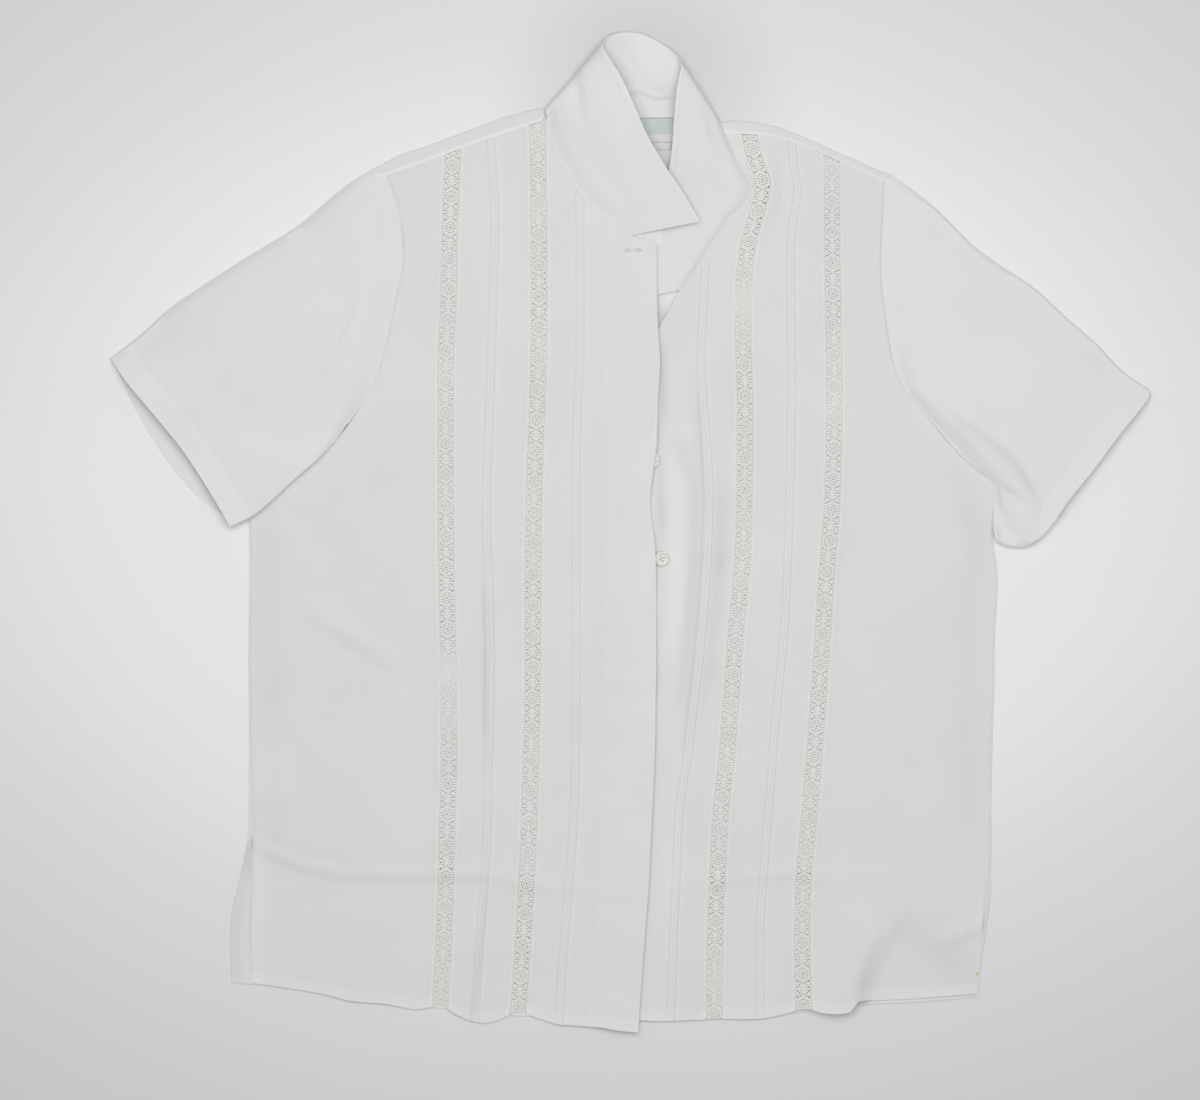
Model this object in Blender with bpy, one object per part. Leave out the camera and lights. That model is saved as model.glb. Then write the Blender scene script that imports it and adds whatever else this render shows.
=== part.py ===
"""A sheer short-sleeved blouse with pin tucks and lace strips, laid flat face up.

It lies on its back on a flat face. X runs across the chest, Y up to the collar and Z
up from the table. The tables are in millimetres; the finished pieces are in metres.
"""
import math

import bpy
import numpy as np
from mathutils import Vector
from mathutils.geometry import delaunay_2d_cdt

MILLIMETRE = 0.001

# Cloth, and the room left between pieces that are sewn together.
CLOTH = 1.0
COLLAR_CLOTH = 1.5
GAP = 0.3
BACK_LEVEL = CLOTH / 2
FRONT_LEVEL = BACK_LEVEL + CLOTH + GAP

# Lace strips and pin tucks.
LACE_WIDTH = 13.0
TUCK_SPACING = 3.6
TUCK_HEIGHT = 0.9
TUCKS_IN_GROUP = 3

# Buttons under the front edge.
BUTTON_DIAMETER = 12.5
BUTTON_THICKNESS = 2.2
BUTTON_RIM = 0.5
BUTTON_HOLE = 1.7
BUTTON_HOLE_RING = 1.9
BUTTON_SIDES = 20
HOLE_SIDES = 6

# Rows of a front piece: from the hem to the armpit, and from there to the shoulder.
ROWS_BELOW = 13
BACK_COLUMNS = 33
BACK_ROWS_BELOW = 6
ARMPIT_LEFT = 28.0
ARMPIT_RIGHT = 38.6

# Shares of the height of an armhole at which the pieces on both sides of it have a row.
ARMHOLE_ROWS = [0.07, 0.15, 0.22, 0.3, 0.4, 0.5, 0.6, 0.7, 0.8, 0.9, 1.0]

# Outer line of each front, from the hem up the side seam and round the armhole: x, y.
SIDE_LEFT = [(-303.5, -362), (-303.5, -302), (-301.9, -250), (-303.2, -200), (-303.5, -147),
             (-304.8, -97), (-303.5, -47), (-304.0, 2), (-303.5, 28), (-290.0, 38),
             (-270.0, 50), (-250.0, 63), (-236.0, 76), (-227.2, 85), (-212.0, 107.4),
             (-202.4, 126.6), (-195.2, 151.4), (-185.6, 195.4), (-181.6, 214.6),
             (-183.2, 244.2), (-190.4, 273.8), (-196.0, 288)]
SIDE_RIGHT = [(277.0, -372), (279.8, -347), (282.4, -310), (285.0, -285), (288.5, -260),
              (288.5, -222), (290.4, -147), (291.2, -92), (294.0, -37.4), (291.2, -22),
              (290.4, -5.4), (291.0, 20), (291.2, 38.6), (283.0, 45.8), (265.6, 60.6),
              (246.4, 82.6), (230.4, 102.2), (216.8, 119.4), (209.6, 141.4), (205.3, 168.2),
              (202.1, 190.6), (200.8, 219.8), (202.4, 251.4), (203.2, 271.4), (204.4, 282)]

# Outer line of the back, which shows beyond the front at the side slits: x, y.
BACK_LEFT = [(-318.4, -363), (-318.8, -312), (-312.8, -281), (-306.4, -249), (-304.8, -222),
             (-304.8, -97), (-304.0, 2), (-303.5, 28), (-286.0, 58), (-266.0, 90),
             (-246.4, 121.8), (-229.6, 156), (-217.6, 195.4), (-211.0, 245), (-204.0, 290.9)]
BACK_RIGHT = [(279.2, -372), (280.5, -347), (284.8, -317), (287.2, -297), (288.0, -285),
              (288.5, -222), (290.4, -147), (291.2, -92), (294.0, -37.4), (290.4, -5.4),
              (291.0, 20), (291.2, 40), (272.0, 75), (247.0, 110), (228.0, 150),
              (216.0, 200), (212.0, 245), (208.6, 285.4)]

# Middle line of each lace strip: x, y.
LACE_1 = [(-152.2, -383), (-149.6, -343), (-147.4, -281), (-145.9, -220), (-144.8, -180),
          (-145.6, -94), (-147.2, -3), (-147.2, 138), (-145.2, 181), (-144.0, 242),
          (-141.6, 306)]
LACE_2 = [(-89.8, -387), (-87.2, -353), (-84.0, -302), (-81.0, -241), (-79.2, -179),
          (-77.8, -119), (-77.6, -57), (-77.3, 4), (-76.0, 55), (-73.2, 134),
          (-72.8, 222), (-73.6, 303), (-74.4, 331)]
LACE_3 = [(67.4, -392), (68.0, -322), (70.2, -271), (72.8, -220), (77.2, -180), (81.3, -129),
          (84.8, -78), (89.6, -27), (91.5, 24), (92.0, 106), (90.4, 154), (91.2, 201),
          (94.4, 229), (97.6, 243), (101.6, 256), (105.2, 270), (106.4, 279), (104.0, 288),
          (98.8, 302), (95.2, 318)]
LACE_4 = [(139.0, -386), (137.6, -322), (139.2, -271), (144.0, -220), (149.6, -149),
          (153.4, -92), (157.3, -33), (161.6, 25), (163.4, 97), (162.9, 158), (161.8, 219),
          (161.4, 302)]

# Middle line of each group of pin tucks: x, y.
TUCKS_1 = [(-123.6, -388), (-119.4, -322), (-116.2, -281), (-113.9, -241), (-112.8, -180),
           (-111.6, -98), (-112.8, -38), (-114.4, 26), (-111.6, 106), (-109.6, 170),
           (-108.0, 226), (-108.0, 266), (-111.2, 315)]
TUCKS_2 = [(-56.2, -394), (-53.6, -343), (-48.4, -281), (-44.3, -221), (-43.2, -180),
           (-42.4, -98), (-43.0, 24), (-41.4, 106), (-39.6, 140), (-39.7, 222),
           (-39.6, 275)]
TUCKS_3 = [(32.8, -392), (35.2, -322), (37.6, -271), (40.0, -221), (46.1, -180), (50.7, -139),
           (55.8, -98), (60.8, -37), (63.2, 24), (61.9, 65), (58.9, 106), (57.1, 134),
           (58.9, 181), (61.4, 222), (66.0, 245)]
TUCKS_4 = [(104.8, -390), (104.0, -322), (107.2, -271), (111.2, -221), (115.0, -169),
           (117.6, -139), (123.6, -78), (125.6, -37), (127.8, 24), (129.4, 106),
           (129.2, 158), (128.8, 219), (130.4, 250), (134.4, 273), (131.2, 291),
           (128.8, 319)]

# Front edges: the left one laps over the right one. x, y.
EDGE_LEFT = [(6.4, -400), (9.6, -352), (14.7, -285), (18.4, -209), (19.8, -177),
             (20.8, -122), (20.8, -72), (20.5, -22), (18.4, 2), (16.0, 22), (17.6, 42),
             (21.6, 74), (22.4, 106), (24.0, 137), (22.4, 162), (21.6, 187), (21.6, 240)]
EDGE_RIGHT = [(-12.8, -392), (-6.4, -294), (1.6, -182), (5.0, -100), (10.0, -40),
              (11.0, -10), (8.8, 26), (6.0, 74), (3.0, 100), (2.0, 122), (4.5, 134),
              (14.0, 148), (24.0, 165), (30.4, 177), (38.4, 191.4), (45.6, 201.2),
              (53.6, 214), (63.0, 229), (70.4, 239.8), (78.4, 251.7), (89.6, 262.6),
              (95.0, 271), (94.4, 278.6), (89.6, 290.6), (83.2, 303.4), (76.8, 317),
              (74.0, 324)]

# Hems and the upper edges of the fronts: x, y.
HEM_LEFT = [(-303.5, -360), (-249, -368.6), (-223.5, -374.7), (-196, -377.2), (-173.6, -381.4),
            (-160.8, -380.2), (-151.2, -378.2), (-138.4, -386), (-126, -391), (-113.6, -392.2),
            (-103.5, -389.4), (-88.8, -383.8), (-73.6, -388.6), (-58.4, -393.4),
            (-48.8, -394.2), (-23.5, -395.8), (-8.8, -398.2), (6.4, -399.6)]
HEM_RIGHT = [(-12.8, -389), (8.5, -390.2), (26, -391), (68.5, -389.4), (100.8, -389.2),
             (116, -387), (136, -382.2), (146, -382.2), (156, -384.6), (168.5, -384.6),
             (177.3, -382.2), (182.4, -375), (200.8, -374.2), (226, -373), (251.2, -371),
             (277, -369)]
HEM_BACK = [(-318.4, -360), (-303.5, -361.5), (-249, -366), (-196, -374), (-103.5, -386),
            (6.4, -388), (100.8, -386), (168.5, -381.5), (182.4, -378), (226, -376),
            (251.2, -374), (279.2, -371.5)]
SHOULDER_LEFT = [(-196, 285), (-110, 315.8), (-66.3, 330.4)]
NECK_LEFT = [(-66.6, 330.6), (-63.4, 316), (-57.6, 301.4), (-47.2, 283.4), (-37, 269),
             (-20.8, 254.6), (-10.4, 247.4), (1.6, 237), (21.6, 232.4)]
SHOULDER_RIGHT = [(74, 319.5), (90, 318.6), (106, 317.4), (122, 314.6), (138, 309.6),
                  (154, 302.8), (170, 295.6), (186, 288.6), (204.4, 280.6)]
TOP_BACK = [(-204.0, 290.9), (-184, 301.3), (-159.5, 309.4), (-132.8, 319.6),
            (-102.4, 330.9), (-81.9, 336.6), (-67, 339.6), (-50, 344.2), (-30, 351),
            (-5.6, 356.8), (11, 356), (30, 349.2), (48, 340.2), (66, 330),
            (72, 327.6), (81.4, 328.6), (95.7, 328.2), (116, 324.2), (136.5, 317),
            (156.8, 307.5), (177.3, 298.6), (197.6, 289.6), (208.6, 285.4)]
WRAP_LEFT_END = -68.0
WRAP_RIGHT_START = 74.5

# Folds of the cloth. Each row of a fold: x, y, height, reach to the left and to the right
# of the line as it is followed.
FOLDS_LEFT = {
    "front edge lifted over the buttons": [
        (-2, -400, 3.8, 45, 45), (5, -259, 4.6, 45, 45), (15, -100, 4.6, 45, 45),
        (20, -21, 4.6, 45, 45), (17, 57, 4.6, 45, 45), (14, 137, 4.6, 45, 45),
        (10, 190, 4.6, 45, 45), (6, 236, 3.8, 45, 45)],
    "tucks standing up": [
        (-114, -20, 0, 7, 7), (-112.6, -60, 3.0, 7, 7), (-112, -140, 3.0, 7, 7),
        (-113, -190, 0, 7, 7)],
    "storage crease": [
        (-299, -248, 1.2, 10, 10), (-259, -266, 1.6, 10, 10), (-229, -272, 1.6, 10, 10),
        (-125, -272, 1.4, 10, 10), (-82, -281, 1.4, 10, 10), (0, -289, 0.6, 10, 10)],
    "slanting crease": [
        (-271, -52, 0.4, 14, 14), (-222, -82, 1.8, 14, 14), (-174, -113, 0.5, 14, 14)],
    "crease at the front edge": [
        (-38, -113, 0.2, 12, 12), (-6, -118, 1.4, 12, 12), (22, -122, 1.0, 12, 12)],
}
FOLDS_RIGHT = {
    "tucks standing up": [
        (59, 104, 0, 8, 8), (62, 65, 6.0, 8, 8), (63.2, 24, 8.0, 8, 8),
        (60.8, -37, 8.0, 8, 8), (55.8, -98, 6.0, 8, 8), (50.7, -139, 3.0, 8, 8),
        (46.1, -180, 0, 8, 8)],
    "hem folded over": [
        (222, -298, 0, 10, 14), (212, -308, 3.5, 11, 30), (200, -322, 7.0, 12, 42),
        (188, -343, 9.5, 12, 50), (181, -363, 10.5, 12, 52), (178, -392, 10.5, 12, 52)],
    "fold at the side slit": [
        (286, -312, 1.0, 12, 12), (262, -321, 2.4, 12, 12), (236, -330, 0, 12, 12)],
    "storage crease": [
        (26, -284, 0.4, 10, 10), (78, -278, 1.4, 10, 10), (126, -272, 1.4, 10, 10),
        (170, -278, 1.0, 10, 10)],
    "pull at the neck": [
        (110, 312, 1.0, 10, 10), (114, 266, 3.2, 10, 10), (96, 218, 0, 10, 10)],
    "pull across the chest": [
        (34, 84, 0, 12, 12), (66, 62, 1.2, 12, 12), (104, 48, 0, 12, 12)],
}

# Collar, from the left front end round the back of the neck to the right front end:
# seam x, y, z, then free edge x, y, z.
COLLAR = [
    (2.2, 237.6, 4.6, 56.0, 248.0, 9.5),
    (-10.2, 248.0, 4.6, 42.4, 270.8, 12.0),
    (-20.6, 255.2, 4.4, 35.0, 281.5, 13.5),
    (-36.6, 269.6, 4.2, 28.3, 291.4, 15.0),
    (-46.8, 284.0, 4.0, 14.0, 315.7, 17.0),
    (-57.2, 302.0, 4.0, 4.0, 338.2, 18.5),
    (-62.6, 318.0, 4.2, -6.4, 361.0, 19.5),
    (-65.0, 331.0, 5.0, -14.5, 374.0, 19.5),
    (-65.8, 337.6, 5.2, -19.5, 383.0, 17.0),
    (-63.6, 341.8, 3.2, -21.6, 389.5, 11.0),
    (-52.0, 344.4, 1.3, -16.5, 396.2, 6.0),
    (-30.0, 351.8, 1.1, -8.0, 399.0, 3.6),
    (-5.6, 357.4, 1.1, -1.0, 399.4, 3.0),
    (11.0, 356.6, 1.1, 9.9, 398.0, 3.0),
    (30.0, 349.8, 1.1, 24.0, 391.0, 3.8),
    (50.0, 340.2, 1.3, 34.0, 383.6, 6.0),
    (67.0, 332.4, 3.2, 39.6, 377.0, 10.0),
    (71.4, 328.0, 5.0, 40.6, 370.0, 14.0),
    (76.0, 317.4, 5.0, 37.6, 356.0, 15.0),
    (82.6, 303.4, 5.2, 35.2, 332.2, 13.5),
    (89.0, 290.4, 5.6, 33.4, 305.8, 10.0),
    (93.6, 279.0, 5.6, 30.0, 284.0, 6.0),
    (93.8, 271.4, 5.0, 27.0, 272.0, 4.2),
    (88.8, 263.2, 4.4, 23.0, 258.0, 3.0),
    (77.6, 252.2, 3.8, 17.0, 240.0, 2.3),
    (62.4, 229.6, 3.2, 6.0, 218.0, 2.2),
    (50.0, 210.0, 2.9, -4.0, 197.0, 2.2),
    (38.8, 193.2, 2.7, -14.4, 182.6, 2.2),
]
COLLAR_COLUMNS = 5
COLLAR_ARCH = 2.2

# Sleeves: fold along the top, fold below, underarm line, front and back armhole and the
# front and back of the cuff. x, y.
SLEEVE_LEFT = {
    "top": [(-205.6, 290.2), (-227.2, 276.2), (-253.6, 253.8), (-268.8, 241.8),
            (-303.2, 221.0), (-332.0, 202.6), (-366.4, 179.4), (-391.2, 157.0),
            (-415.0, 139.0)],
    "below": [(-244.0, 63.4), (-268.8, 41.0), (-292.8, 18.6),
              (-303.2, 11.4), (-318.8, 3.8)],
    "underarm": [(-311.0, 25.0), (-318.0, 19.0), (-323.5, 11.5)],
    "front cuff": [(-415.0, 139.0), (-408.0, 128.2), (-399.6, 117.0), (-378.8, 92.2),
                   (-359.2, 68.2), (-345.6, 48.2), (-332.0, 26.6), (-318.8, 3.8)],
    "back cuff": [(-415.0, 139.0), (-408.0, 124.0), (-394.6, 97.0), (-382.2, 75.4),
                  (-365.0, 50.6), (-345.8, 29.0), (-323.5, 11.5)],
    "bulge": 8.0,
}
SLEEVE_RIGHT = {
    "top": [(210.4, 284.4), (221.6, 276.2), (246.2, 256.5), (270.4, 232.2), (292.8, 214.8),
            (322.1, 195.4), (346.4, 173.2), (371.2, 151.4), (392.8, 129.0), (415.0, 113.2)],
    "below": [(300.0, -10.6), (309.6, -11.8), (319.7, -10.2), (329.6, -3.0),
              (339.2, 9.0)],
    "underarm": [(303.0, -7.0), (312.0, -7.5), (320.0, -5.5), (328.0, 1.5), (335.0, 13.0)],
    "front cuff": [(415.0, 113.2), (412.8, 105.0), (392.8, 80.2), (368.8, 48.2),
                   (351.2, 26.6), (339.2, 9.0)],
    "back cuff": [(415.0, 113.2), (409.0, 104.0), (389.0, 79.0), (365.0, 48.6),
                  (348.0, 28.0), (335.0, 13.0)],
    "bulge": 7.0,
}
SLEEVE_FOLDS_LEFT = {
    "soft fold to the cuff": [(-250, 190, 0, 22, 22), (-300, 130, 2.5, 24, 24),
                              (-345, 80, 1.5, 20, 20)],
}
SLEEVE_FOLDS_RIGHT = {
    "fold along the sleeve": [(234, 160, 0, 12, 12), (224, 141, 3.0, 12, 14),
                              (233, 112, 3.6, 10, 16), (251, 92, 3.6, 8, 18),
                              (283, 73, 3.6, 8, 20), (302, 58, 3.6, 8, 20),
                              (312, 41, 3.0, 8, 18), (322, 24, 2.5, 8, 16)],
    "crease from the shoulder": [(241, 210, 0, 10, 10), (226, 195, 1.6, 10, 10),
                                 (214, 173, 0.4, 10, 10)],
    "gathers under the arm": [(296, 30, 1.0, 9, 9), (306, 14, 4.5, 10, 10),
                              (318, 0, 4.0, 10, 10)],
}
SLEEVE_ROWS = 12
TUCKED_COLUMNS = [0.08, 0.5, 0.92]
FOLD_RADIUS = 1.2
SEAM_END_LEFT = 80.0
SEAM_END_RIGHT = [(292.6, -7.0), (293.0, -3.0)]
UNDERARM_LEFT = (-304.8, 28.8)
TUCKED_LEVEL = FRONT_LEVEL + CLOTH + GAP
TOP_SLOPE = 28.0
SEAM_SLOPE = 40.0
BELOW_SLOPE = 24.0

# Neck facing and label inside the back: x, y.
FACING_TOP = [(-44, 345.6), (-30, 350.4), (-5.6, 356.2), (11, 355.4), (30, 348.6), (56, 334.6)]
FACING_BOTTOM = [(-44, 322), (-20, 329), (6, 331), (42, 331), (56, 324)]
LABEL = [(8.0, 330.6), (35.0, 330.6), (35.0, 312.0), (8.0, 312.0)]
LABEL_STRIP = [(17.6, 311.6), (33.6, 311.6), (31.6, 305.6), (18.6, 305.6)]
BUTTON_PLACES = [(14.0, 137.0), (17.6, 57.4), (25.3, -21.2), (15.6, -100.6), (11.0, -179.8),
                 (5.6, -259.0)]

IVORY_CLOTH = (0.79, 0.79, 0.77, 1.0)
IVORY_LACE = (0.77, 0.75, 0.70, 1.0)
PEARL = (0.72, 0.70, 0.62, 1.0)
MINT = (0.49, 0.63, 0.60, 1.0)
WHITE_TAPE = (0.80, 0.80, 0.79, 1.0)


def clear_scene():
    for thing in list(bpy.data.objects):
        bpy.data.objects.remove(thing, do_unlink=True)


def eased(share):
    """Soft step from 0 to 1."""
    share = np.clip(share, 0.0, 1.0)
    return share * share * (3.0 - 2.0 * share)


def across(table, y):
    """x of a line of the table at height y."""
    rows = sorted((row[1], row[0]) for row in table)
    return np.interp(y, [row[0] for row in rows], [row[1] for row in rows])


def along(table, x):
    """y of an edge of the table at x."""
    return np.interp(x, [row[0] for row in table], [row[1] for row in table])


def drawn(table, shares):
    """Points at shares of the length of the curve through the table."""
    points = np.array(table, dtype=float)
    padded = np.vstack([2 * points[0] - points[1], points, 2 * points[-1] - points[-2]])
    fine = []
    for start in range(len(points) - 1):
        a, b, c, d = padded[start:start + 4]
        for t in np.linspace(0.0, 1.0, 9)[:-1]:
            fine.append(0.5 * (2 * b + (c - a) * t + (2 * a - 5 * b + 4 * c - d) * t ** 2
                               + (3 * b - a - 3 * c + d) * t ** 3))
    fine = np.array(fine + [points[-1]])
    steps = np.linalg.norm(np.diff(fine, axis=0), axis=1)
    length = np.concatenate([[0.0], np.cumsum(steps)])
    places = np.asarray(shares) * length[-1]
    return np.stack([np.interp(places, length, fine[:, axis])
                     for axis in range(points.shape[1])], axis=-1)


def one_fold(x, y, rows):
    """Height of one fold: a soft ridge with its own reach on each side of its line."""
    nearest = np.full(np.shape(x), np.inf)
    height = np.zeros(np.shape(x))
    for first, second in zip(rows[:-1], rows[1:]):
        run = np.array([second[0] - first[0], second[1] - first[1]])
        length = math.hypot(*run)
        share = ((x - first[0]) * run[0] + (y - first[1]) * run[1]) / length ** 2
        share = np.clip(share, 0.0, 1.0)
        away_x = x - first[0] - share * run[0]
        away_y = y - first[1] - share * run[1]
        distance = np.hypot(away_x, away_y)
        on_left = run[0] * away_y - run[1] * away_x > 0
        crest, left, right = [first[i] + share * (second[i] - first[i]) for i in (2, 3, 4)]
        reach = np.where(on_left, left, right)
        here = crest * (1.0 - eased(distance / reach))
        closer = distance < nearest
        height = np.where(closer, here, height)
        nearest = np.where(closer, distance, nearest)
    return height


def fold_height(x, y, folds):
    return sum(one_fold(x, y, rows) for rows in folds.values())


def left_front_height(x, y):
    return FRONT_LEVEL + fold_height(x, y, FOLDS_LEFT)


def right_front_height(x, y):
    return FRONT_LEVEL + fold_height(x, y, FOLDS_RIGHT)


def slope_normals(x, y, height):
    """Upward directions of a height function, the same on both sides of a seam."""
    reach = 2.5
    slope_x = (height(x + reach, y) - height(x - reach, y)) / (2 * reach)
    slope_y = (height(x, y + reach) - height(x, y - reach)) / (2 * reach)
    normals = np.stack([-slope_x, -slope_y, np.ones_like(slope_x)], axis=-1)
    return normals / np.linalg.norm(normals, axis=-1, keepdims=True)


def surface_normals(points, faces):
    normals = np.zeros_like(points)
    for face in faces:
        corners = points[list(face)]
        turn = np.cross(corners[2] - corners[0], corners[3] - corners[1])
        for corner in face:
            normals[corner] += turn / (np.linalg.norm(turn) + 1e-9)
    return normals / np.linalg.norm(normals, axis=1, keepdims=True)


def material(name, colour, roughness):
    made = bpy.data.materials.new(name)
    made.use_nodes = True
    shader = made.node_tree.nodes["Principled BSDF"]
    shader.inputs["Base Color"].default_value = colour
    shader.inputs["Roughness"].default_value = roughness
    shader.inputs["Metallic"].default_value = 0.0
    made.diffuse_color = colour
    return made


def add_piece(name, points, faces, colour, roughness):
    mesh = bpy.data.meshes.new(name)
    places = [tuple(float(value) * MILLIMETRE for value in point) for point in points]
    mesh.from_pydata(places, [], [tuple(int(i) for i in face) for face in faces])
    mesh.validate()
    mesh.materials.append(material(name, colour, roughness))
    piece = bpy.data.objects.new(name, mesh)
    bpy.context.scene.collection.objects.link(piece)
    return piece


def boundary_edges(faces):
    """Directed edges that belong to one face only."""
    edges = {}
    for face in faces:
        for first, second in zip(face, face[1:] + face[:1]):
            edges[(first, second)] = True
    return [edge for edge in edges if (edge[1], edge[0]) not in edges]


def triangles(points, faces):
    """Each face cut along its shorter diagonal."""
    cut = []
    for a, b, c, d in faces:
        if np.linalg.norm(points[a] - points[c]) <= np.linalg.norm(points[b] - points[d]):
            cut += [(a, b, c), (a, c, d)]
        else:
            cut += [(a, b, d), (b, c, d)]
    return cut


def cloth_piece(name, points, faces, colour, thickness=CLOTH, normals=None, raised=0.0,
                roughness=0.8):
    """Wall of cloth on both sides of a middle surface; raised adds to the upper side."""
    if normals is None:
        normals = surface_normals(points, faces)
    raised = np.broadcast_to(raised, (len(points),))[:, None]
    upper = points + normals * (thickness / 2 + raised)
    lower = points - normals * thickness / 2
    count = len(points)
    shell = triangles(points, faces)
    shell += [tuple(count + corner for corner in reversed(face)) for face in shell]
    shell += [(second, first, count + first, count + second)
              for first, second in boundary_edges(faces)]
    add_piece(name, np.vstack([upper, lower]), shell, colour, roughness)


def grid_faces(rows, columns, closed=False):
    """Faces of a grid of points; a closed grid joins its last column to its first."""
    faces = []
    for row in range(rows - 1):
        for column in range(columns if closed else columns - 1):
            following = (column + 1) % columns
            faces.append((row * columns + column, row * columns + following,
                          (row + 1) * columns + following, (row + 1) * columns + column))
    return faces


def column_line(left, right, share):
    """Line at a share of the way between two lines."""
    return lambda y: (1 - share) * left(y) + share * right(y)


def meeting(line, edge, guess):
    """y where an upright line meets an edge."""
    y = guess
    for _ in range(40):
        y = 0.5 * y + 0.5 * float(edge(line(y)))
    return y


def upright_grid(lines, hem, top, armpit, rows_below=ROWS_BELOW):
    """Points of a body piece: a column up every line, cut by the hem and the top."""
    columns = []
    for line in lines:
        low = meeting(line, hem, -385.0)
        high = meeting(line, top, 300.0)
        below = np.linspace(low, armpit, rows_below + 1)
        above = armpit + (high - armpit) * np.array(ARMHOLE_ROWS)
        y = np.concatenate([below, above])
        columns.append(np.stack([line(y), y], axis=-1))
    return np.stack(columns, axis=1)


def tuck_lines(table, room):
    """Lines along the foot and the crest of each tuck, kept inside the piece."""
    count = 2 * TUCKS_IN_GROUP + 1
    offsets = (np.arange(count) - TUCKS_IN_GROUP) * TUCK_SPACING / 2
    left, right = room

    def line(offset, order):
        def place(y):
            share = (across(table, y) + offset - left(y)) / (right(y) - left(y))
            margin = 0.03
            lowest = margin * (order + 3)
            highest = 1.0 - margin * (count - order + 2)
            return left(y) + np.clip(share, lowest, highest) * (right(y) - left(y))
        return place
    return [line(offset, order) for order, offset in enumerate(offsets)]


def front_piece(name, left, right, hem, top, armpit, height, splits, tucks=None,
                colour=IVORY_CLOTH):
    """One piece of a front between two upright lines, with its pin tucks."""
    lines = [left]
    crests = [0.0]
    if tucks is None:
        lines += [column_line(left, right, (i + 1) / splits) for i in range(splits - 1)]
        crests += [0.0] * (splits - 1)
    else:
        group = tuck_lines(tucks, (left, right))
        before, after = splits
        lines += [column_line(left, group[0], (i + 1) / before) for i in range(before - 1)]
        lines += group
        lines += [column_line(group[-1], right, (i + 1) / after) for i in range(after - 1)]
        crests += [0.0] * (before - 1) + [0.0, 1.0] * TUCKS_IN_GROUP + [0.0] * after
    lines.append(right)
    crests.append(0.0)
    plan = upright_grid(lines, hem, top, armpit)
    x, y = plan[..., 0], plan[..., 1]
    points = np.stack([x, y, height(x, y)], axis=-1).reshape(-1, 3)
    normals = slope_normals(x, y, height).reshape(-1, 3)
    width = np.abs(x[:, -1] - x[:, 0])
    fading = eased((width - 12.0) / 12.0)[:, None]
    raised = (np.array(crests)[None, :] * TUCK_HEIGHT * fading).reshape(-1)
    rows, columns = plan.shape[:2]
    cloth_piece(name, points, grid_faces(rows, columns), colour, normals=normals,
                raised=raised)
    return plan


def beside(table, offset):
    """Line beside the middle line of a lace strip."""
    return lambda y: across(table, y) + offset


def make_left_front():
    half = LACE_WIDTH / 2
    hem = lambda x: along(HEM_LEFT, x)
    shoulder = lambda x: along(SHOULDER_LEFT, x)
    neck = lambda x: along(NECK_LEFT, x)
    shared = (hem, shoulder, ARMPIT_LEFT, left_front_height)
    side = front_piece("front_left_side", lambda y: across(SIDE_LEFT, y),
                       beside(LACE_1, -half - GAP), *shared, 9)
    front_piece("lace_left_outer", beside(LACE_1, -half), beside(LACE_1, half),
                *shared, 2, colour=IVORY_LACE)
    front_piece("front_left_middle", beside(LACE_1, half + GAP),
                beside(LACE_2, -half - GAP), *shared, (3, 3), tucks=TUCKS_1)
    front_piece("lace_left_inner", beside(LACE_2, -half), beside(LACE_2, half),
                *shared, 2, colour=IVORY_LACE)
    front_piece("front_left_inner", beside(LACE_2, half + GAP),
                lambda y: across(EDGE_LEFT, y), hem, neck, ARMPIT_LEFT,
                left_front_height, (3, 6), tucks=TUCKS_2)
    return side[:, 0]


def make_right_front():
    half = LACE_WIDTH / 2
    hem = lambda x: along(HEM_RIGHT, x)
    shoulder = lambda x: along(SHOULDER_RIGHT, x)
    shared = (hem, shoulder, ARMPIT_RIGHT, right_front_height)
    front_piece("front_right_inner", lambda y: across(EDGE_RIGHT, y),
                beside(LACE_3, -half - GAP), *shared, (5, 3), tucks=TUCKS_3)
    front_piece("lace_right_inner", beside(LACE_3, -half), beside(LACE_3, half),
                *shared, 2, colour=IVORY_LACE)
    front_piece("front_right_middle", beside(LACE_3, half + GAP),
                beside(LACE_4, -half - GAP), *shared, (3, 3), tucks=TUCKS_4)
    front_piece("lace_right_outer", beside(LACE_4, -half), beside(LACE_4, half),
                *shared, 2, colour=IVORY_LACE)
    side = front_piece("front_right_side", beside(LACE_4, half + GAP),
                       lambda y: across(SIDE_RIGHT, y), *shared, 14)
    return side[:, -1]


def wrap_rows(outline, seam):
    """Rows that carry the back over the shoulder fold and forward to the seam."""
    radius = (FRONT_LEVEL - BACK_LEVEL) / 2
    rows = []
    for inset, level in ((0.0, BACK_LEVEL + radius), (radius, FRONT_LEVEL)):
        rows.append([(x, y - inset, level) for x, y in outline])
    low, high = outline[0][0], outline[-1][0]
    start, end = max(low, seam[0][0] + GAP), min(high, seam[-1][0] - GAP)
    seam_x = start + (outline[:, 0] - low) * (end - start) / (high - low)
    rows.append([(x, float(along(seam, x)) + 2 * GAP, FRONT_LEVEL) for x in seam_x])
    return rows


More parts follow.
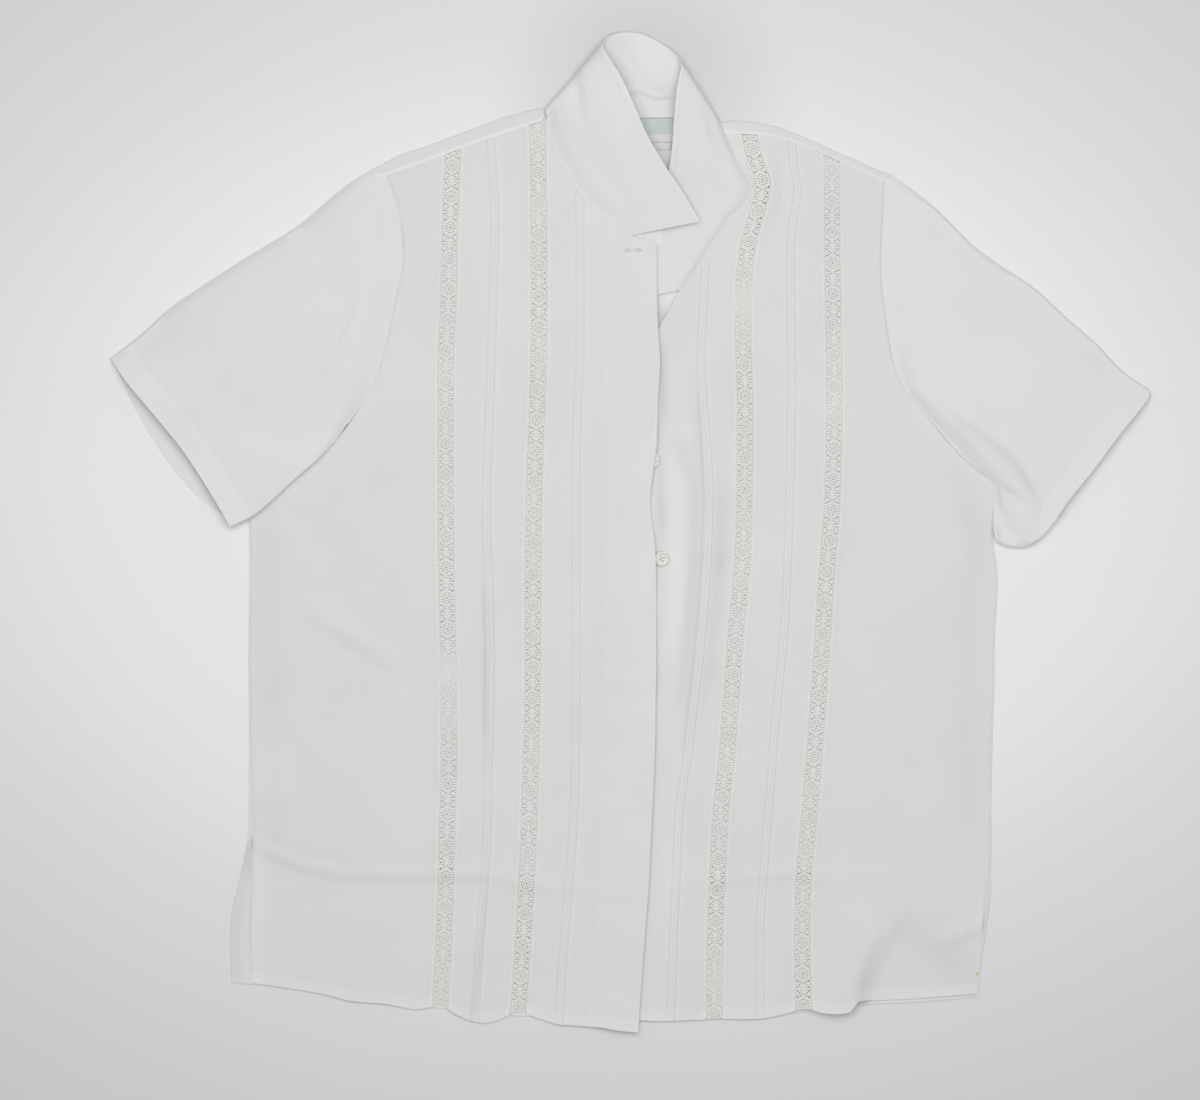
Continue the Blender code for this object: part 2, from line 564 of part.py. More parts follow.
def make_back():
    """The back, flat on the table, carried forward over both shoulders."""
    shares = np.linspace(0.0, 1.0, BACK_COLUMNS)
    left = lambda y: across(BACK_LEFT, y)
    right = lambda y: across(BACK_RIGHT, y)
    lines = [column_line(left, right, share) for share in shares]
    plan = upright_grid(lines, lambda x: along(HEM_BACK, x), lambda x: along(TOP_BACK, x),
                        ARMPIT_LEFT, BACK_ROWS_BELOW)
    rows, columns = plan.shape[:2]
    outline = plan[-1].copy()
    fold_radius = (FRONT_LEVEL - BACK_LEVEL) / 2
    on_shoulder = (outline[:, 0] < WRAP_LEFT_END) | (outline[:, 0] > WRAP_RIGHT_START)
    plan[-1, on_shoulder, 1] -= fold_radius
    flat = np.full(plan.shape[:2], BACK_LEVEL)
    points = list(np.dstack([plan, flat]).reshape(-1, 3))
    faces = grid_faces(rows, columns)
    for seam, side in ((SHOULDER_LEFT, outline[:, 0] < WRAP_LEFT_END),
                       (SHOULDER_RIGHT, outline[:, 0] > WRAP_RIGHT_START)):
        wrapped = np.nonzero(side)[0]
        below = [(rows - 1) * columns + column for column in wrapped]
        for row in wrap_rows(outline[wrapped], seam):
            above = list(range(len(points), len(points) + len(row)))
            points += [np.array(point) for point in row]
            faces += [(below[i], below[i + 1], above[i + 1], above[i])
                      for i in range(len(row) - 1)]
            below = above
    cloth_piece("back", np.array(points), faces, IVORY_CLOTH)
    return plan[:, 0], plan[:, -1]


def moved_out(points, distance):
    """Line beside a line of points, on its left as it is followed."""
    runs = np.diff(points, axis=0)
    runs = runs / np.linalg.norm(runs, axis=1, keepdims=True)
    normals = np.stack([-runs[:, 1], runs[:, 0]], axis=-1)
    joined = np.vstack([normals[:1], normals[:-1] + normals[1:], normals[-1:]])
    joined = joined / np.linalg.norm(joined, axis=1, keepdims=True)
    facing = np.vstack([normals[:1], normals])
    return points + joined * distance / np.sum(joined * facing, axis=1, keepdims=True)


def length_shares(points):
    steps = np.linalg.norm(np.diff(points, axis=0), axis=1)
    length = np.concatenate([[0.0], np.cumsum(steps)])
    return length / length[-1]


def patch(low, high, start, end):
    """Points between two long edges and two end lines, given as matching points."""
    s = length_shares(start)[None, :, None]
    t = length_shares(low)[:, None, None]
    corners = ((1 - s) * (1 - t) * start[0] + s * (1 - t) * start[-1]
               + (1 - s) * t * end[0] + s * t * end[-1])
    return ((1 - s) * low[:, None, :] + s * high[:, None, :] + (1 - t) * start[None]
            + t * end[None] - corners)


def sleeve_layer(low, high, start, end):
    """Points of one layer of a sleeve, with a column close to each of its two folds."""
    shares = length_shares(start)
    layer = patch(low, high, start, drawn(end, shares))
    beside_low = layer[:, 1] - layer[:, 0]
    beside_high = layer[:, -2] - layer[:, -1]
    columns = [layer[:, 0] + FOLD_RADIUS * beside_low
               / np.linalg.norm(beside_low, axis=-1, keepdims=True)]
    columns += [layer[:, column] for column in range(1, layer.shape[1] - 1)]
    columns += [layer[:, -1] + FOLD_RADIUS * beside_high
                / np.linalg.norm(beside_high, axis=-1, keepdims=True)]
    return np.stack(columns, axis=1)


def sleeve_front_height(plan, top, below, seam, folds, bulge):
    """Height of the upper layer of a sleeve, level with the front along the armhole."""
    x, y = plan[..., 0], plan[..., 1]
    from_top = np.linalg.norm(plan - top[:, None, :], axis=-1)
    from_below = np.linalg.norm(plan - below[:, None, :], axis=-1)
    from_seam = np.linalg.norm(plan - seam[None, :, :], axis=-1)
    leaving = eased(from_seam / SEAM_SLOPE)
    swell = bulge * eased(from_top / TOP_SLOPE) * leaving
    roll = 2 * FOLD_RADIUS * leaving * (1 - eased(from_top / TOP_SLOPE))
    near_below = 1 - eased(from_below / BELOW_SLOPE)
    over_tucked = TUCKED_LEVEL + 2 * FOLD_RADIUS - FRONT_LEVEL
    creases = fold_height(x, y, folds) * eased(from_seam / 12.0) * (1 - near_below)
    return FRONT_LEVEL + np.maximum(swell + roll, over_tucked * near_below) + creases


def make_sleeve(name, lines, folds, front_armhole, back_armhole):
    """A flattened tube: upper layer, the part tucked below it, and the lower layer."""
    t = np.linspace(0.0, 1.0, SLEEVE_ROWS)
    corner = np.array(lines["top"][0])
    front_seam = np.vstack([corner, front_armhole])
    back_seam = np.vstack([corner, back_armhole])
    rail_top = drawn(lines["top"], t)
    rail_below = drawn([tuple(front_seam[-1])] + lines["below"], t)
    rail_under = drawn([tuple(back_seam[-1])] + lines["underarm"], t)
    front = sleeve_layer(rail_top, rail_below, front_seam, lines["front cuff"])
    front_z = sleeve_front_height(front, rail_top, rail_below, front[0], folds,
                                  lines["bulge"])
    back = sleeve_layer(rail_top, rail_under, back_seam, lines["back cuff"])
    tucked_s = np.array(TUCKED_COLUMNS)[None, :, None]
    tucked = rail_below[:, None, :] * (1 - tucked_s) + rail_under[:, None, :] * tucked_s
    rings = []
    for row in range(SLEEVE_ROWS):
        ring = [(*rail_top[row], (BACK_LEVEL + front_z[row, 0]) / 2)]
        ring += [(*point, z) for point, z in zip(front[row], front_z[row])]
        ring += [(*rail_below[row], (front_z[row, -1] + TUCKED_LEVEL) / 2)]
        ring += [(*point, TUCKED_LEVEL) for point in tucked[row]]
        ring += [(*rail_under[row], (TUCKED_LEVEL + BACK_LEVEL) / 2)]
        ring += [(*point, BACK_LEVEL) for point in back[row, ::-1]]
        rings.append(ring)
    points = np.array(rings)
    faces = grid_faces(SLEEVE_ROWS, points.shape[1], closed=True)
    if corner[0] < 0:
        faces = [tuple(reversed(face)) for face in faces]
    normals = surface_normals(points.reshape(-1, 3), faces)
    cloth_piece(name, points.reshape(-1, 3), faces, IVORY_CLOTH,
                normals=level_at_seam(points[0], normals))


def level_at_seam(ring, normals):
    """Turns the cloth of the first ring level where it meets the body."""
    levelled = normals.copy()
    for column in range(2, len(ring) - 2):
        height = ring[column][2]
        if abs(height - FRONT_LEVEL) < 0.2:
            levelled[column] = (0.0, 0.0, 1.0)
        if abs(height - BACK_LEVEL) < 0.2:
            levelled[column] = (0.0, 0.0, -1.0)
    return levelled


def sleeve_seam(body_edge, side, lowest):
    """Armhole line of a sleeve beside the edge of the body, from the shoulder down."""
    seam = moved_out(body_edge, side * GAP)[::-1]
    return seam[seam[:, 1] > lowest]


def make_collar():
    """The collar as one band that stands at the neck, its left end over its right."""
    stations = np.array(COLLAR)
    shares = np.linspace(0.0, 1.0, COLLAR_COLUMNS)
    rows = []
    for row in stations:
        seam, free = row[:3], row[3:]
        band = [seam + (free - seam) * share for share in shares]
        for place, share in zip(band, shares):
            place[2] += COLLAR_ARCH * math.sin(math.pi * share) * min(1.0, free[2] / 12.0)
        rows.append(band)
    points = np.array(rows)
    faces = grid_faces(len(stations), COLLAR_COLUMNS)
    cloth_piece("collar", points.reshape(-1, 3), faces, IVORY_CLOTH, COLLAR_CLOTH)


def flat_quad(name, corners, level, colour, splits=3):
    """A small flat piece between four corners."""
    shares = np.linspace(0.0, 1.0, splits)
    a, b, c, d = [np.array(corner, dtype=float) for corner in corners]
    points = []
    for down in shares:
        for right in shares:
            place = (1 - down) * ((1 - right) * a + right * b) \
                + down * ((1 - right) * d + right * c)
            points.append((place[0], place[1], level))
    faces = [tuple(reversed(face)) for face in grid_faces(splits, splits)]
    cloth_piece(name, np.array(points), faces, colour)


def make_facing():
    x = np.linspace(FACING_TOP[0][0], FACING_TOP[-1][0], 12)
    top, bottom = along(FACING_TOP, x), along(FACING_BOTTOM, x)
    level = np.full(len(x), FRONT_LEVEL)
    rows = [np.stack([x, bottom + (top - bottom) * share, level], axis=-1)
            for share in (0.0, 0.5, 1.0)]
    points = np.array(rows).reshape(-1, 3)
    cloth_piece("neck_facing", points, grid_faces(3, len(x)), IVORY_CLOTH)


def circle(radius, sides, middle=(0.0, 0.0)):
    angles = np.arange(sides) * 2 * math.pi / sides
    return [Vector((middle[0] + radius * math.cos(angle), middle[1] + radius * math.sin(angle)))
            for angle in angles]


def button_face():
    """Flat middle of a button, cut by its four thread holes."""
    inner = BUTTON_DIAMETER / 2 - 1.6
    loops = [circle(inner, BUTTON_SIDES)]
    for quarter in range(4):
        angle = math.pi / 4 + quarter * math.pi / 2
        middle = (BUTTON_HOLE_RING * math.cos(angle), BUTTON_HOLE_RING * math.sin(angle))
        loops.append(circle(BUTTON_HOLE / 2, HOLE_SIDES, middle))
    places = [place for loop in loops for place in loop]
    edges = []
    start = 0
    for loop in loops:
        count = len(loop)
        edges += [(start + i, start + (i + 1) % count) for i in range(count)]
        start += count
    made = delaunay_2d_cdt(places, edges, [], 0, 1e-6)
    points, faces = made[0], made[2]
    holes = [sum(loop, Vector((0.0, 0.0))) / len(loop) for loop in loops[1:]]
    kept = []
    for face in faces:
        middle = sum((points[i] for i in face), Vector((0.0, 0.0))) / len(face)
        if middle.length > inner:
            continue
        if min((middle - hole).length for hole in holes) < BUTTON_HOLE / 2 - 0.1:
            continue
        kept.append(tuple(face))
    return [(point.x, point.y) for point in points], kept


def make_button(number, place):
    """A dished four-hole button lying on the under front."""
    plan, faces = button_face()
    base = FRONT_LEVEL + CLOTH / 2 + GAP
    dish = base + BUTTON_THICKNESS - BUTTON_RIM
    count = len(plan)
    points = [(x, y, dish) for x, y in plan] + [(x, y, base) for x, y in plan]
    shell = list(faces) + [tuple(count + i for i in reversed(face)) for face in faces]
    for first, second in boundary_edges(faces):
        if math.hypot(*plan[first]) < BUTTON_DIAMETER / 2 - 2.0:
            shell.append((second, first, count + first, count + second))
    outer_edge = [edge for edge in boundary_edges(faces)
                  if math.hypot(*plan[edge[0]]) >= BUTTON_DIAMETER / 2 - 2.0]
    profile = [(BUTTON_DIAMETER / 2 - 1.2, base + BUTTON_THICKNESS),
               (BUTTON_DIAMETER / 2 - 0.5, base + BUTTON_THICKNESS),
               (BUTTON_DIAMETER / 2, base + BUTTON_THICKNESS - 0.5),
               (BUTTON_DIAMETER / 2, base + 0.5),
               (BUTTON_DIAMETER / 2 - 0.8, base)]
    rings = [{first: first for first, second in outer_edge}]
    for radius, level in profile:
        ring = {}
        for first, second in outer_edge:
            x, y = plan[first]
            scale = radius / math.hypot(x, y)
            ring[first] = len(points)
            points.append((x * scale, y * scale, level))
        rings.append(ring)
    rings.append({first: count + first for first, second in outer_edge})
    for inner, outer in zip(rings[:-1], rings[1:]):
        shell += [(inner[second], inner[first], outer[first], outer[second])
                  for first, second in outer_edge]
    moved = [(x + place[0], y + place[1], z) for x, y, z in points]
    add_piece("button_%d" % number, moved, shell, PEARL, 0.35)


def settle():
    """Centre the garment over the origin, with its lowest side at height zero."""
    pieces = list(bpy.context.scene.collection.objects)
    corners = np.array([tuple(vertex.co) for piece in pieces for vertex in piece.data.vertices])
    low, high = corners.min(axis=0), corners.max(axis=0)
    shift = np.array([-(low[0] + high[0]) / 2, -(low[1] + high[1]) / 2, -low[2]])
    for piece in pieces:
        for vertex in piece.data.vertices:
            vertex.co += Vector(shift)


clear_scene()
back_left_edge, back_right_edge = make_back()
front_left_edge = make_left_front()
front_right_edge = make_right_front()
make_sleeve("sleeve_left", SLEEVE_LEFT, SLEEVE_FOLDS_LEFT,
            sleeve_seam(front_left_edge, 1, SEAM_END_LEFT),
            np.vstack([sleeve_seam(back_left_edge, 1, ARMPIT_LEFT + 1)[1:], UNDERARM_LEFT]))
make_sleeve("sleeve_right", SLEEVE_RIGHT, SLEEVE_FOLDS_RIGHT,
            np.vstack([sleeve_seam(front_right_edge, -1, 0.0), SEAM_END_RIGHT[0]]),
            np.vstack([sleeve_seam(back_right_edge, -1, 0.0)[1:], SEAM_END_RIGHT[1]]))
make_collar()
make_facing()
flat_quad("neck_label", LABEL, FRONT_LEVEL, MINT)
flat_quad("neck_label_strip", LABEL_STRIP, FRONT_LEVEL, WHITE_TAPE)
for order, spot in enumerate(BUTTON_PLACES, start=1):
    make_button(order, spot)
settle()
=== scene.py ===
# %% [markdown]
# # A sheer blouse with pin tucks and strips of lace
# The blouse lies on its back on a table, and the camera looks straight down at it.
# Its cloth is a thin crepe, so nearly everything that can be seen is a very small
# relief: tucks a millimetre high, seams, hems and soft creases. Each piece that a maker
# would cut is built here as its own thin shell over the solid of the same name.
#
# The imported model comes first and is never changed. The finished blouse has to stay
# inside it.

# %% Load the imported model
import math

import bpy
import numpy as np
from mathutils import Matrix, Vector
from mathutils.geometry import delaunay_2d_cdt


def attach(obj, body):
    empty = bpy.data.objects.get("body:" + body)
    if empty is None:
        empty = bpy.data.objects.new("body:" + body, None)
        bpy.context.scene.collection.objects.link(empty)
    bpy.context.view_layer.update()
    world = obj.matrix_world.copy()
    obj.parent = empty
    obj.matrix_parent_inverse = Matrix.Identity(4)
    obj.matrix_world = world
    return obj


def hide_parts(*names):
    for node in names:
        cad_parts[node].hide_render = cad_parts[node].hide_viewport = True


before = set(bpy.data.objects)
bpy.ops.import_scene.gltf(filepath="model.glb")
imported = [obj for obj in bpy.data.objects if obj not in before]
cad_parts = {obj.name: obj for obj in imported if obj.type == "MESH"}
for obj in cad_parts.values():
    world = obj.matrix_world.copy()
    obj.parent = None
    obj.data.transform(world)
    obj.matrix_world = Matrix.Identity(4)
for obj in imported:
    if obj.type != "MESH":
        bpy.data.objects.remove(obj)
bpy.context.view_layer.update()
MILLIMETRE = 0.001

# %% [markdown]
# ## Sizes and outlines
# All the tables are in millimetres: X runs across the chest, Y up to the collar. The
# outlines are the same as in the solids. They are written down as a few points each,
# because a line through a few well chosen points is smoother than one through many.

# %% Levels and widths
CLOTH = 0.6
BACK_LEVEL = 0.5
FRONT_LEVEL = 1.8
LACE_WIDTH = 13.0
SEAM_ROOM = 0.3
TUCK_SPACING = 3.0
HEM_DEPTH = 6.6
SLEEVE_HEM = 21.0
GRID = 3.1

# %% Outlines of the body
SIDE_LEFT = [(-303.5, -362), (-303.5, -302), (-301.9, -250), (-303.2, -200), (-303.5, -147),
             (-304.8, -97), (-303.5, -47), (-304.0, 2), (-303.5, 28), (-290.0, 38),
             (-270.0, 50), (-250.0, 63), (-236.0, 76), (-227.2, 85), (-212.0, 107.4),
             (-202.4, 126.6), (-195.2, 151.4), (-185.6, 195.4), (-181.6, 214.6),
             (-183.2, 244.2), (-190.4, 273.8), (-196.0, 288)]
SIDE_RIGHT = [(277.0, -372), (279.8, -347), (282.4, -310), (285.0, -285), (288.5, -260),
              (288.5, -222), (290.4, -147), (291.2, -92), (294.0, -37.4), (291.2, -22),
              (290.4, -5.4), (291.0, 20), (291.2, 38.6), (283.0, 45.8), (265.6, 60.6),
              (246.4, 82.6), (230.4, 102.2), (216.8, 119.4), (209.6, 141.4), (205.3, 168.2),
              (202.1, 190.6), (200.8, 219.8), (202.4, 251.4), (203.2, 271.4), (204.4, 282)]
BACK_LEFT = [(-318.4, -363), (-318.8, -312), (-312.8, -281), (-306.4, -249), (-304.8, -222),
             (-304.8, -97), (-304.0, 2), (-303.5, 28), (-286.0, 58), (-266.0, 90),
             (-246.4, 121.8), (-229.6, 156), (-217.6, 195.4), (-211.0, 245), (-204.0, 290.9)]
BACK_RIGHT = [(279.2, -372), (280.5, -347), (284.8, -317), (287.2, -297), (288.0, -285),
              (288.5, -222), (290.4, -147), (291.2, -92), (294.0, -37.4), (290.4, -5.4),
              (291.0, 20), (291.2, 40), (272.0, 75), (247.0, 110), (228.0, 150),
              (216.0, 200), (212.0, 245), (208.6, 285.4)]
HEM_LEFT = [(-303.5, -360), (-249, -368.6), (-223.5, -374.7), (-196, -377.2), (-173.6, -381.4),
            (-160.8, -380.2), (-151.2, -378.2), (-138.4, -386), (-126, -391), (-113.6, -392.2),
            (-103.5, -389.4), (-88.8, -383.8), (-73.6, -388.6), (-58.4, -393.4),
            (-48.8, -394.2), (-23.5, -395.8), (-8.8, -398.2), (6.4, -399.6)]
HEM_RIGHT = [(-12.8, -389), (8.5, -390.2), (26, -391), (68.5, -389.4), (100.8, -389.2),
             (116, -387), (136, -382.2), (146, -382.2), (156, -384.6), (168.5, -384.6),
             (177.3, -382.2), (182.4, -375), (200.8, -374.2), (226, -373), (251.2, -371),
             (277, -369)]
HEM_BACK = [(-318.4, -360), (-303.5, -361.5), (-249, -366), (-196, -374), (-103.5, -386),
            (6.4, -388), (100.8, -386), (168.5, -381.5), (182.4, -378), (226, -376),
            (251.2, -374), (279.2, -371.5)]
SHOULDER_LEFT = [(-196, 285), (-110, 315.8), (-66.3, 330.4)]
SHOULDER_RIGHT = [(74, 319.5), (90, 318.6), (106, 317.4), (122, 314.6), (138, 309.6),
                  (154, 302.8), (170, 295.6), (186, 288.6), (204.4, 280.6)]
NECK_LEFT = [(-66.6, 330.6), (-63.4, 316), (-57.6, 301.4), (-47.2, 283.4), (-37, 269),
             (-20.8, 254.6), (-10.4, 247.4), (1.6, 237), (21.6, 232.4)]
TOP_BACK = [(-204.0, 290.9), (-184, 301.3), (-159.5, 309.4), (-132.8, 319.6),
            (-102.4, 330.9), (-81.9, 336.6), (-67, 339.6), (-50, 344.2), (-30, 351),
            (-5.6, 356.8), (11, 356), (30, 349.2), (48, 340.2), (66, 330),
            (72, 327.6), (81.4, 328.6), (95.7, 328.2), (116, 324.2), (136.5, 317),
            (156.8, 307.5), (177.3, 298.6), (197.6, 289.6), (208.6, 285.4)]
EDGE_LEFT = [(6.4, -400), (9.6, -352), (14.7, -285), (18.4, -209), (19.8, -177),
             (20.8, -122), (20.8, -72), (20.5, -22), (18.4, 2), (16.0, 22), (17.6, 42),
             (21.6, 74), (22.4, 106), (24.0, 137), (22.4, 162), (21.6, 187), (21.6, 240)]
EDGE_RIGHT = [(-12.8, -392), (-6.4, -294), (1.6, -182), (5.0, -100), (10.0, -40),
              (11.0, -10), (8.8, 26), (6.0, 74), (3.0, 100), (2.0, 122), (4.5, 134),
              (14.0, 148), (24.0, 165), (30.4, 177), (38.4, 191.4), (45.6, 201.2),
              (53.6, 214), (63.0, 229), (70.4, 239.8), (78.4, 251.7), (89.6, 262.6),
              (95.0, 271), (94.4, 278.6), (89.6, 290.6), (83.2, 303.4), (76.8, 317),
              (74.0, 324)]
PLACKET_LEFT = [(-37.0, -400), (-31.0, -330), (-27.2, -286), (-24.4, -150), (-22.4, -90),
                (-21.6, 0), (-21.6, 120), (-20.6, 170), (-18.0, 250)]

# %% Lines of the lace and of the tucks
LACE_1 = [(-152.2, -383), (-149.6, -343), (-147.4, -281), (-145.9, -220), (-144.8, -180),
          (-145.6, -94), (-147.2, -3), (-147.2, 138), (-145.2, 181), (-144.0, 242),
          (-141.6, 306)]
LACE_2 = [(-89.8, -387), (-87.2, -353), (-84.0, -302), (-81.0, -241), (-79.2, -179),
          (-77.8, -119), (-77.6, -57), (-77.3, 4), (-76.0, 55), (-73.2, 134),
          (-72.8, 222), (-73.6, 303), (-74.4, 331)]
LACE_3 = [(67.4, -392), (68.0, -322), (70.2, -271), (72.8, -220), (77.2, -180), (81.3, -129),
          (84.8, -78), (89.6, -27), (91.5, 24), (92.0, 106), (90.4, 154), (91.2, 201),
          (94.4, 229), (97.6, 243), (101.6, 256), (105.2, 270), (106.4, 279), (104.0, 288),
          (98.8, 302), (95.2, 318)]
LACE_4 = [(139.0, -386), (137.6, -322), (139.2, -271), (144.0, -220), (149.6, -149),
          (153.4, -92), (157.3, -33), (161.6, 25), (163.4, 97), (162.9, 158), (161.8, 219),
          (161.4, 302)]
TUCKS_1 = [(-123.6, -388), (-119.4, -322), (-116.2, -281), (-113.9, -241), (-112.8, -180),
           (-111.6, -98), (-112.8, -38), (-114.4, 26), (-111.6, 106), (-109.6, 170),
           (-108.0, 226), (-108.0, 266), (-111.2, 315)]
TUCKS_2 = [(-56.2, -394), (-53.6, -343), (-48.4, -281), (-44.3, -221), (-43.2, -180),
           (-42.4, -98), (-43.0, 24), (-41.4, 106), (-39.6, 140), (-39.7, 222),
           (-39.6, 275)]
TUCKS_3 = [(32.8, -392), (35.2, -322), (37.6, -271), (40.0, -221), (46.1, -180), (50.7, -139),
           (55.8, -98), (60.8, -37), (63.2, 24), (61.9, 65), (58.9, 106), (57.1, 134),
           (58.9, 181), (61.4, 222), (66.0, 245)]
TUCKS_4 = [(104.8, -390), (104.0, -322), (107.2, -271), (111.2, -221), (115.0, -169),
           (117.6, -139), (123.6, -78), (125.6, -37), (127.8, 24), (129.4, 106),
           (129.2, 158), (128.8, 219), (130.4, 250), (134.4, 273), (131.2, 291),
           (128.8, 319)]
print("four lace strips and four groups of three tucks")

# %% [markdown]
# ## Lines that can be asked for a place
# A line of the table is first made smooth, with a curve that passes through every point.
# It can then be asked for its x at a height, or for its y at a place across. A grid laid
# between two such lines follows the cut of the cloth, so that seams and tucks run along
# its columns and stay crisp without a dense mesh.

# %% Smooth lines
def eased(share):
    """Soft step from 0 to 1."""
    share = np.clip(share, 0.0, 1.0)
    return share * share * (3.0 - 2.0 * share)


def travelled(points):
    """Length of the path from its start to each of its points."""
    steps = np.linalg.norm(np.diff(points, axis=0), axis=1)
    return np.concatenate([[0.0], np.cumsum(steps)])


def drawn(table, shares):
    """Points at shares of the length of the curve through the table."""
    points = np.array(table, dtype=float)
    padded = np.vstack([2 * points[0] - points[1], points, 2 * points[-1] - points[-2]])
    fine = []
    for start in range(len(points) - 1):
        a, b, c, d = padded[start:start + 4]
        for t in np.linspace(0.0, 1.0, 9)[:-1]:
            fine.append(0.5 * (2 * b + (c - a) * t + (2 * a - 5 * b + 4 * c - d) * t ** 2
                               + (3 * b - a - 3 * c + d) * t ** 3))
    fine = np.array(fine + [points[-1]])
    length = travelled(fine)
    places = np.asarray(shares) * length[-1]
    return np.stack([np.interp(places, length, fine[:, axis])
                     for axis in range(points.shape[1])], axis=-1)


def upright_line(table):
    """x of a smooth line as a function of y."""
    points = drawn(table, np.linspace(0.0, 1.0, 240))
    points = points[np.argsort(points[:, 1])]
    return lambda y: np.interp(y, points[:, 1], points[:, 0])


def level_line(table):
    """y of a smooth line as a function of x."""
    points = drawn(table, np.linspace(0.0, 1.0, 240))
    points = points[np.argsort(points[:, 0])]
    return lambda x: np.interp(x, points[:, 0], points[:, 1])


def meeting(line, edge, guess):
    """y where an upright line meets an edge."""
    y = guess
    for _ in range(30):
        y = 0.5 * y + 0.5 * float(edge(line(y)))
    return y


print("left edge at the chest:", round(float(upright_line(EDGE_LEFT)(0.0)), 1), "mm")

# %% [markdown]
# ## Creases
# Cloth that has been folded and carried keeps creases. Each one is a short table row by
# row: where it passes, how high it stands and how far it reaches to both sides. Rows with
# different heights make a crease that starts, swells and dies away, as real ones do. The
# first tables hold the large folds that the solids have too, the second ones only finer
# creases and hollows.

# %% Folds of the two fronts
FOLDS_LEFT = {
    "front edge lifted over the buttons": [
        (-2, -400, 3.8, 45, 45), (5, -259, 4.6, 45, 45), (15, -100, 4.6, 45, 45),
        (20, -21, 4.6, 45, 45), (17, 57, 4.6, 45, 45), (14, 137, 4.6, 45, 45),
        (10, 190, 4.6, 45, 45), (6, 236, 3.8, 45, 45)],
    "tucks standing up": [
        (-114, -20, 0, 7, 7), (-112.6, -60, 3.0, 7, 7), (-112, -140, 3.0, 7, 7),
        (-113, -190, 0, 7, 7)],
    "storage crease": [
        (-299, -248, 2.0, 9, 10), (-259, -266, 2.5, 9, 10), (-229, -272, 2.4, 9, 10),
        (-125, -272, 1.8, 10, 10), (-82, -281, 1.4, 10, 10), (0, -289, 0.6, 10, 10)],
    "slanting crease": [
        (-271, -52, 0.6, 14, 14), (-222, -82, 2.6, 13, 14), (-174, -113, 1.0, 14, 14)],
    "crease at the front edge": [
        (-38, -113, 0.2, 12, 12), (-6, -118, 1.4, 12, 12), (22, -122, 1.0, 12, 12)],
}
FOLDS_RIGHT = {
    "tucks standing up": [
        (59, 134, 0, 10, 10), (60, 90, 2.0, 14, 12), (63.2, 40, 4.4, 17, 18),
        (61.5, -20, 5.2, 17, 20), (57, -85, 4.6, 15, 19), (50.7, -139, 2.8, 12, 13),
        (44, -200, 0, 9, 9)],
    "hem folded over": [
        (222, -298, 0, 14, 14), (212, -308, 2.6, 16, 30), (200, -322, 5.0, 18, 42),
        (188, -343, 6.6, 18, 50), (181, -363, 7.2, 16, 52), (178, -392, 7.2, 14, 52)],
    "fold at the side slit": [
        (286, -312, 1.0, 12, 12), (262, -321, 2.4, 12, 12), (236, -330, 0, 12, 12)],
    "storage crease": [
        (26, -284, 0.4, 10, 10), (78, -278, 1.4, 10, 10), (126, -272, 1.4, 10, 10),
        (170, -278, 1.0, 10, 10)],
    "pull at the neck": [
        (110, 312, 1.0, 10, 10), (114, 266, 3.2, 10, 10), (96, 218, 0, 10, 10)],
    "pull across the chest": [
        (34, 84, 0, 12, 12), (66, 62, 1.2, 12, 12), (104, 48, 0, 12, 12)],
}
CREASES_LEFT = {
    "hollow beside the side seam": [
        (-284, 0, 0, 16, 16), (-281, -90, -0.7, 18, 18), (-278, -170, -0.9, 18, 18),
        (-280, -235, 0, 16, 16)],
    "soft crease below the arm": [
        (-276, 34, 0, 12, 12), (-250, 20, 0.9, 16, 16), (-214, -4, 0.3, 18, 18)],
    "second slanting crease": [
        (-292, -16, 0, 10, 10), (-262, -70, -0.6, 14, 14), (-210, -104, -0.6, 12, 12),
        (-168, -128, 0, 10, 10)],
    "low crease": [
        (-262, -332, 0, 16, 16), (-226, -344, 0.8, 20, 20), (-186, -336, 0, 16, 16)],
    "front edge rolling down between the buttons": [
        (23.5, 122, 0, 1, 8), (22.4, 105, -1.8, 1, 8), (21.0, 80, -1.8, 1, 8),
        (18.5, 66, 0, 1, 8), (16.6, 47, 0, 1, 8), (16.0, 25, -2.6, 1, 9),
        (18.4, 2, -2.4, 1, 9), (20.3, -10, 0, 1, 8), (20.8, -34, 0, 1, 8),
        (20.8, -60, -2.2, 1, 8), (20.8, -84, -1.6, 1, 8), (20.8, -92, 0, 1, 8),
        (20.6, -112, 0, 1, 8), (20.0, -140, -1.8, 1, 8), (19.6, -168, 0, 1, 8)],
}
CREASES_RIGHT = {
    "hollow beside the side seam": [
        (262, 20, 0, 18, 18), (266, -60, -0.9, 22, 22), (268, -150, -0.8, 20, 20),
        (266, -220, 0, 18, 18)],
    "fan below the lace": [
        (100, -182, 0, 8, 8), (122, -170, 0.8, 10, 10), (146, -152, 0, 8, 8)],
    "crease low on the right": [
        (236, -262, 0, 14, 14), (206, -276, 0.9, 16, 16), (176, -282, 0, 12, 12)],
}


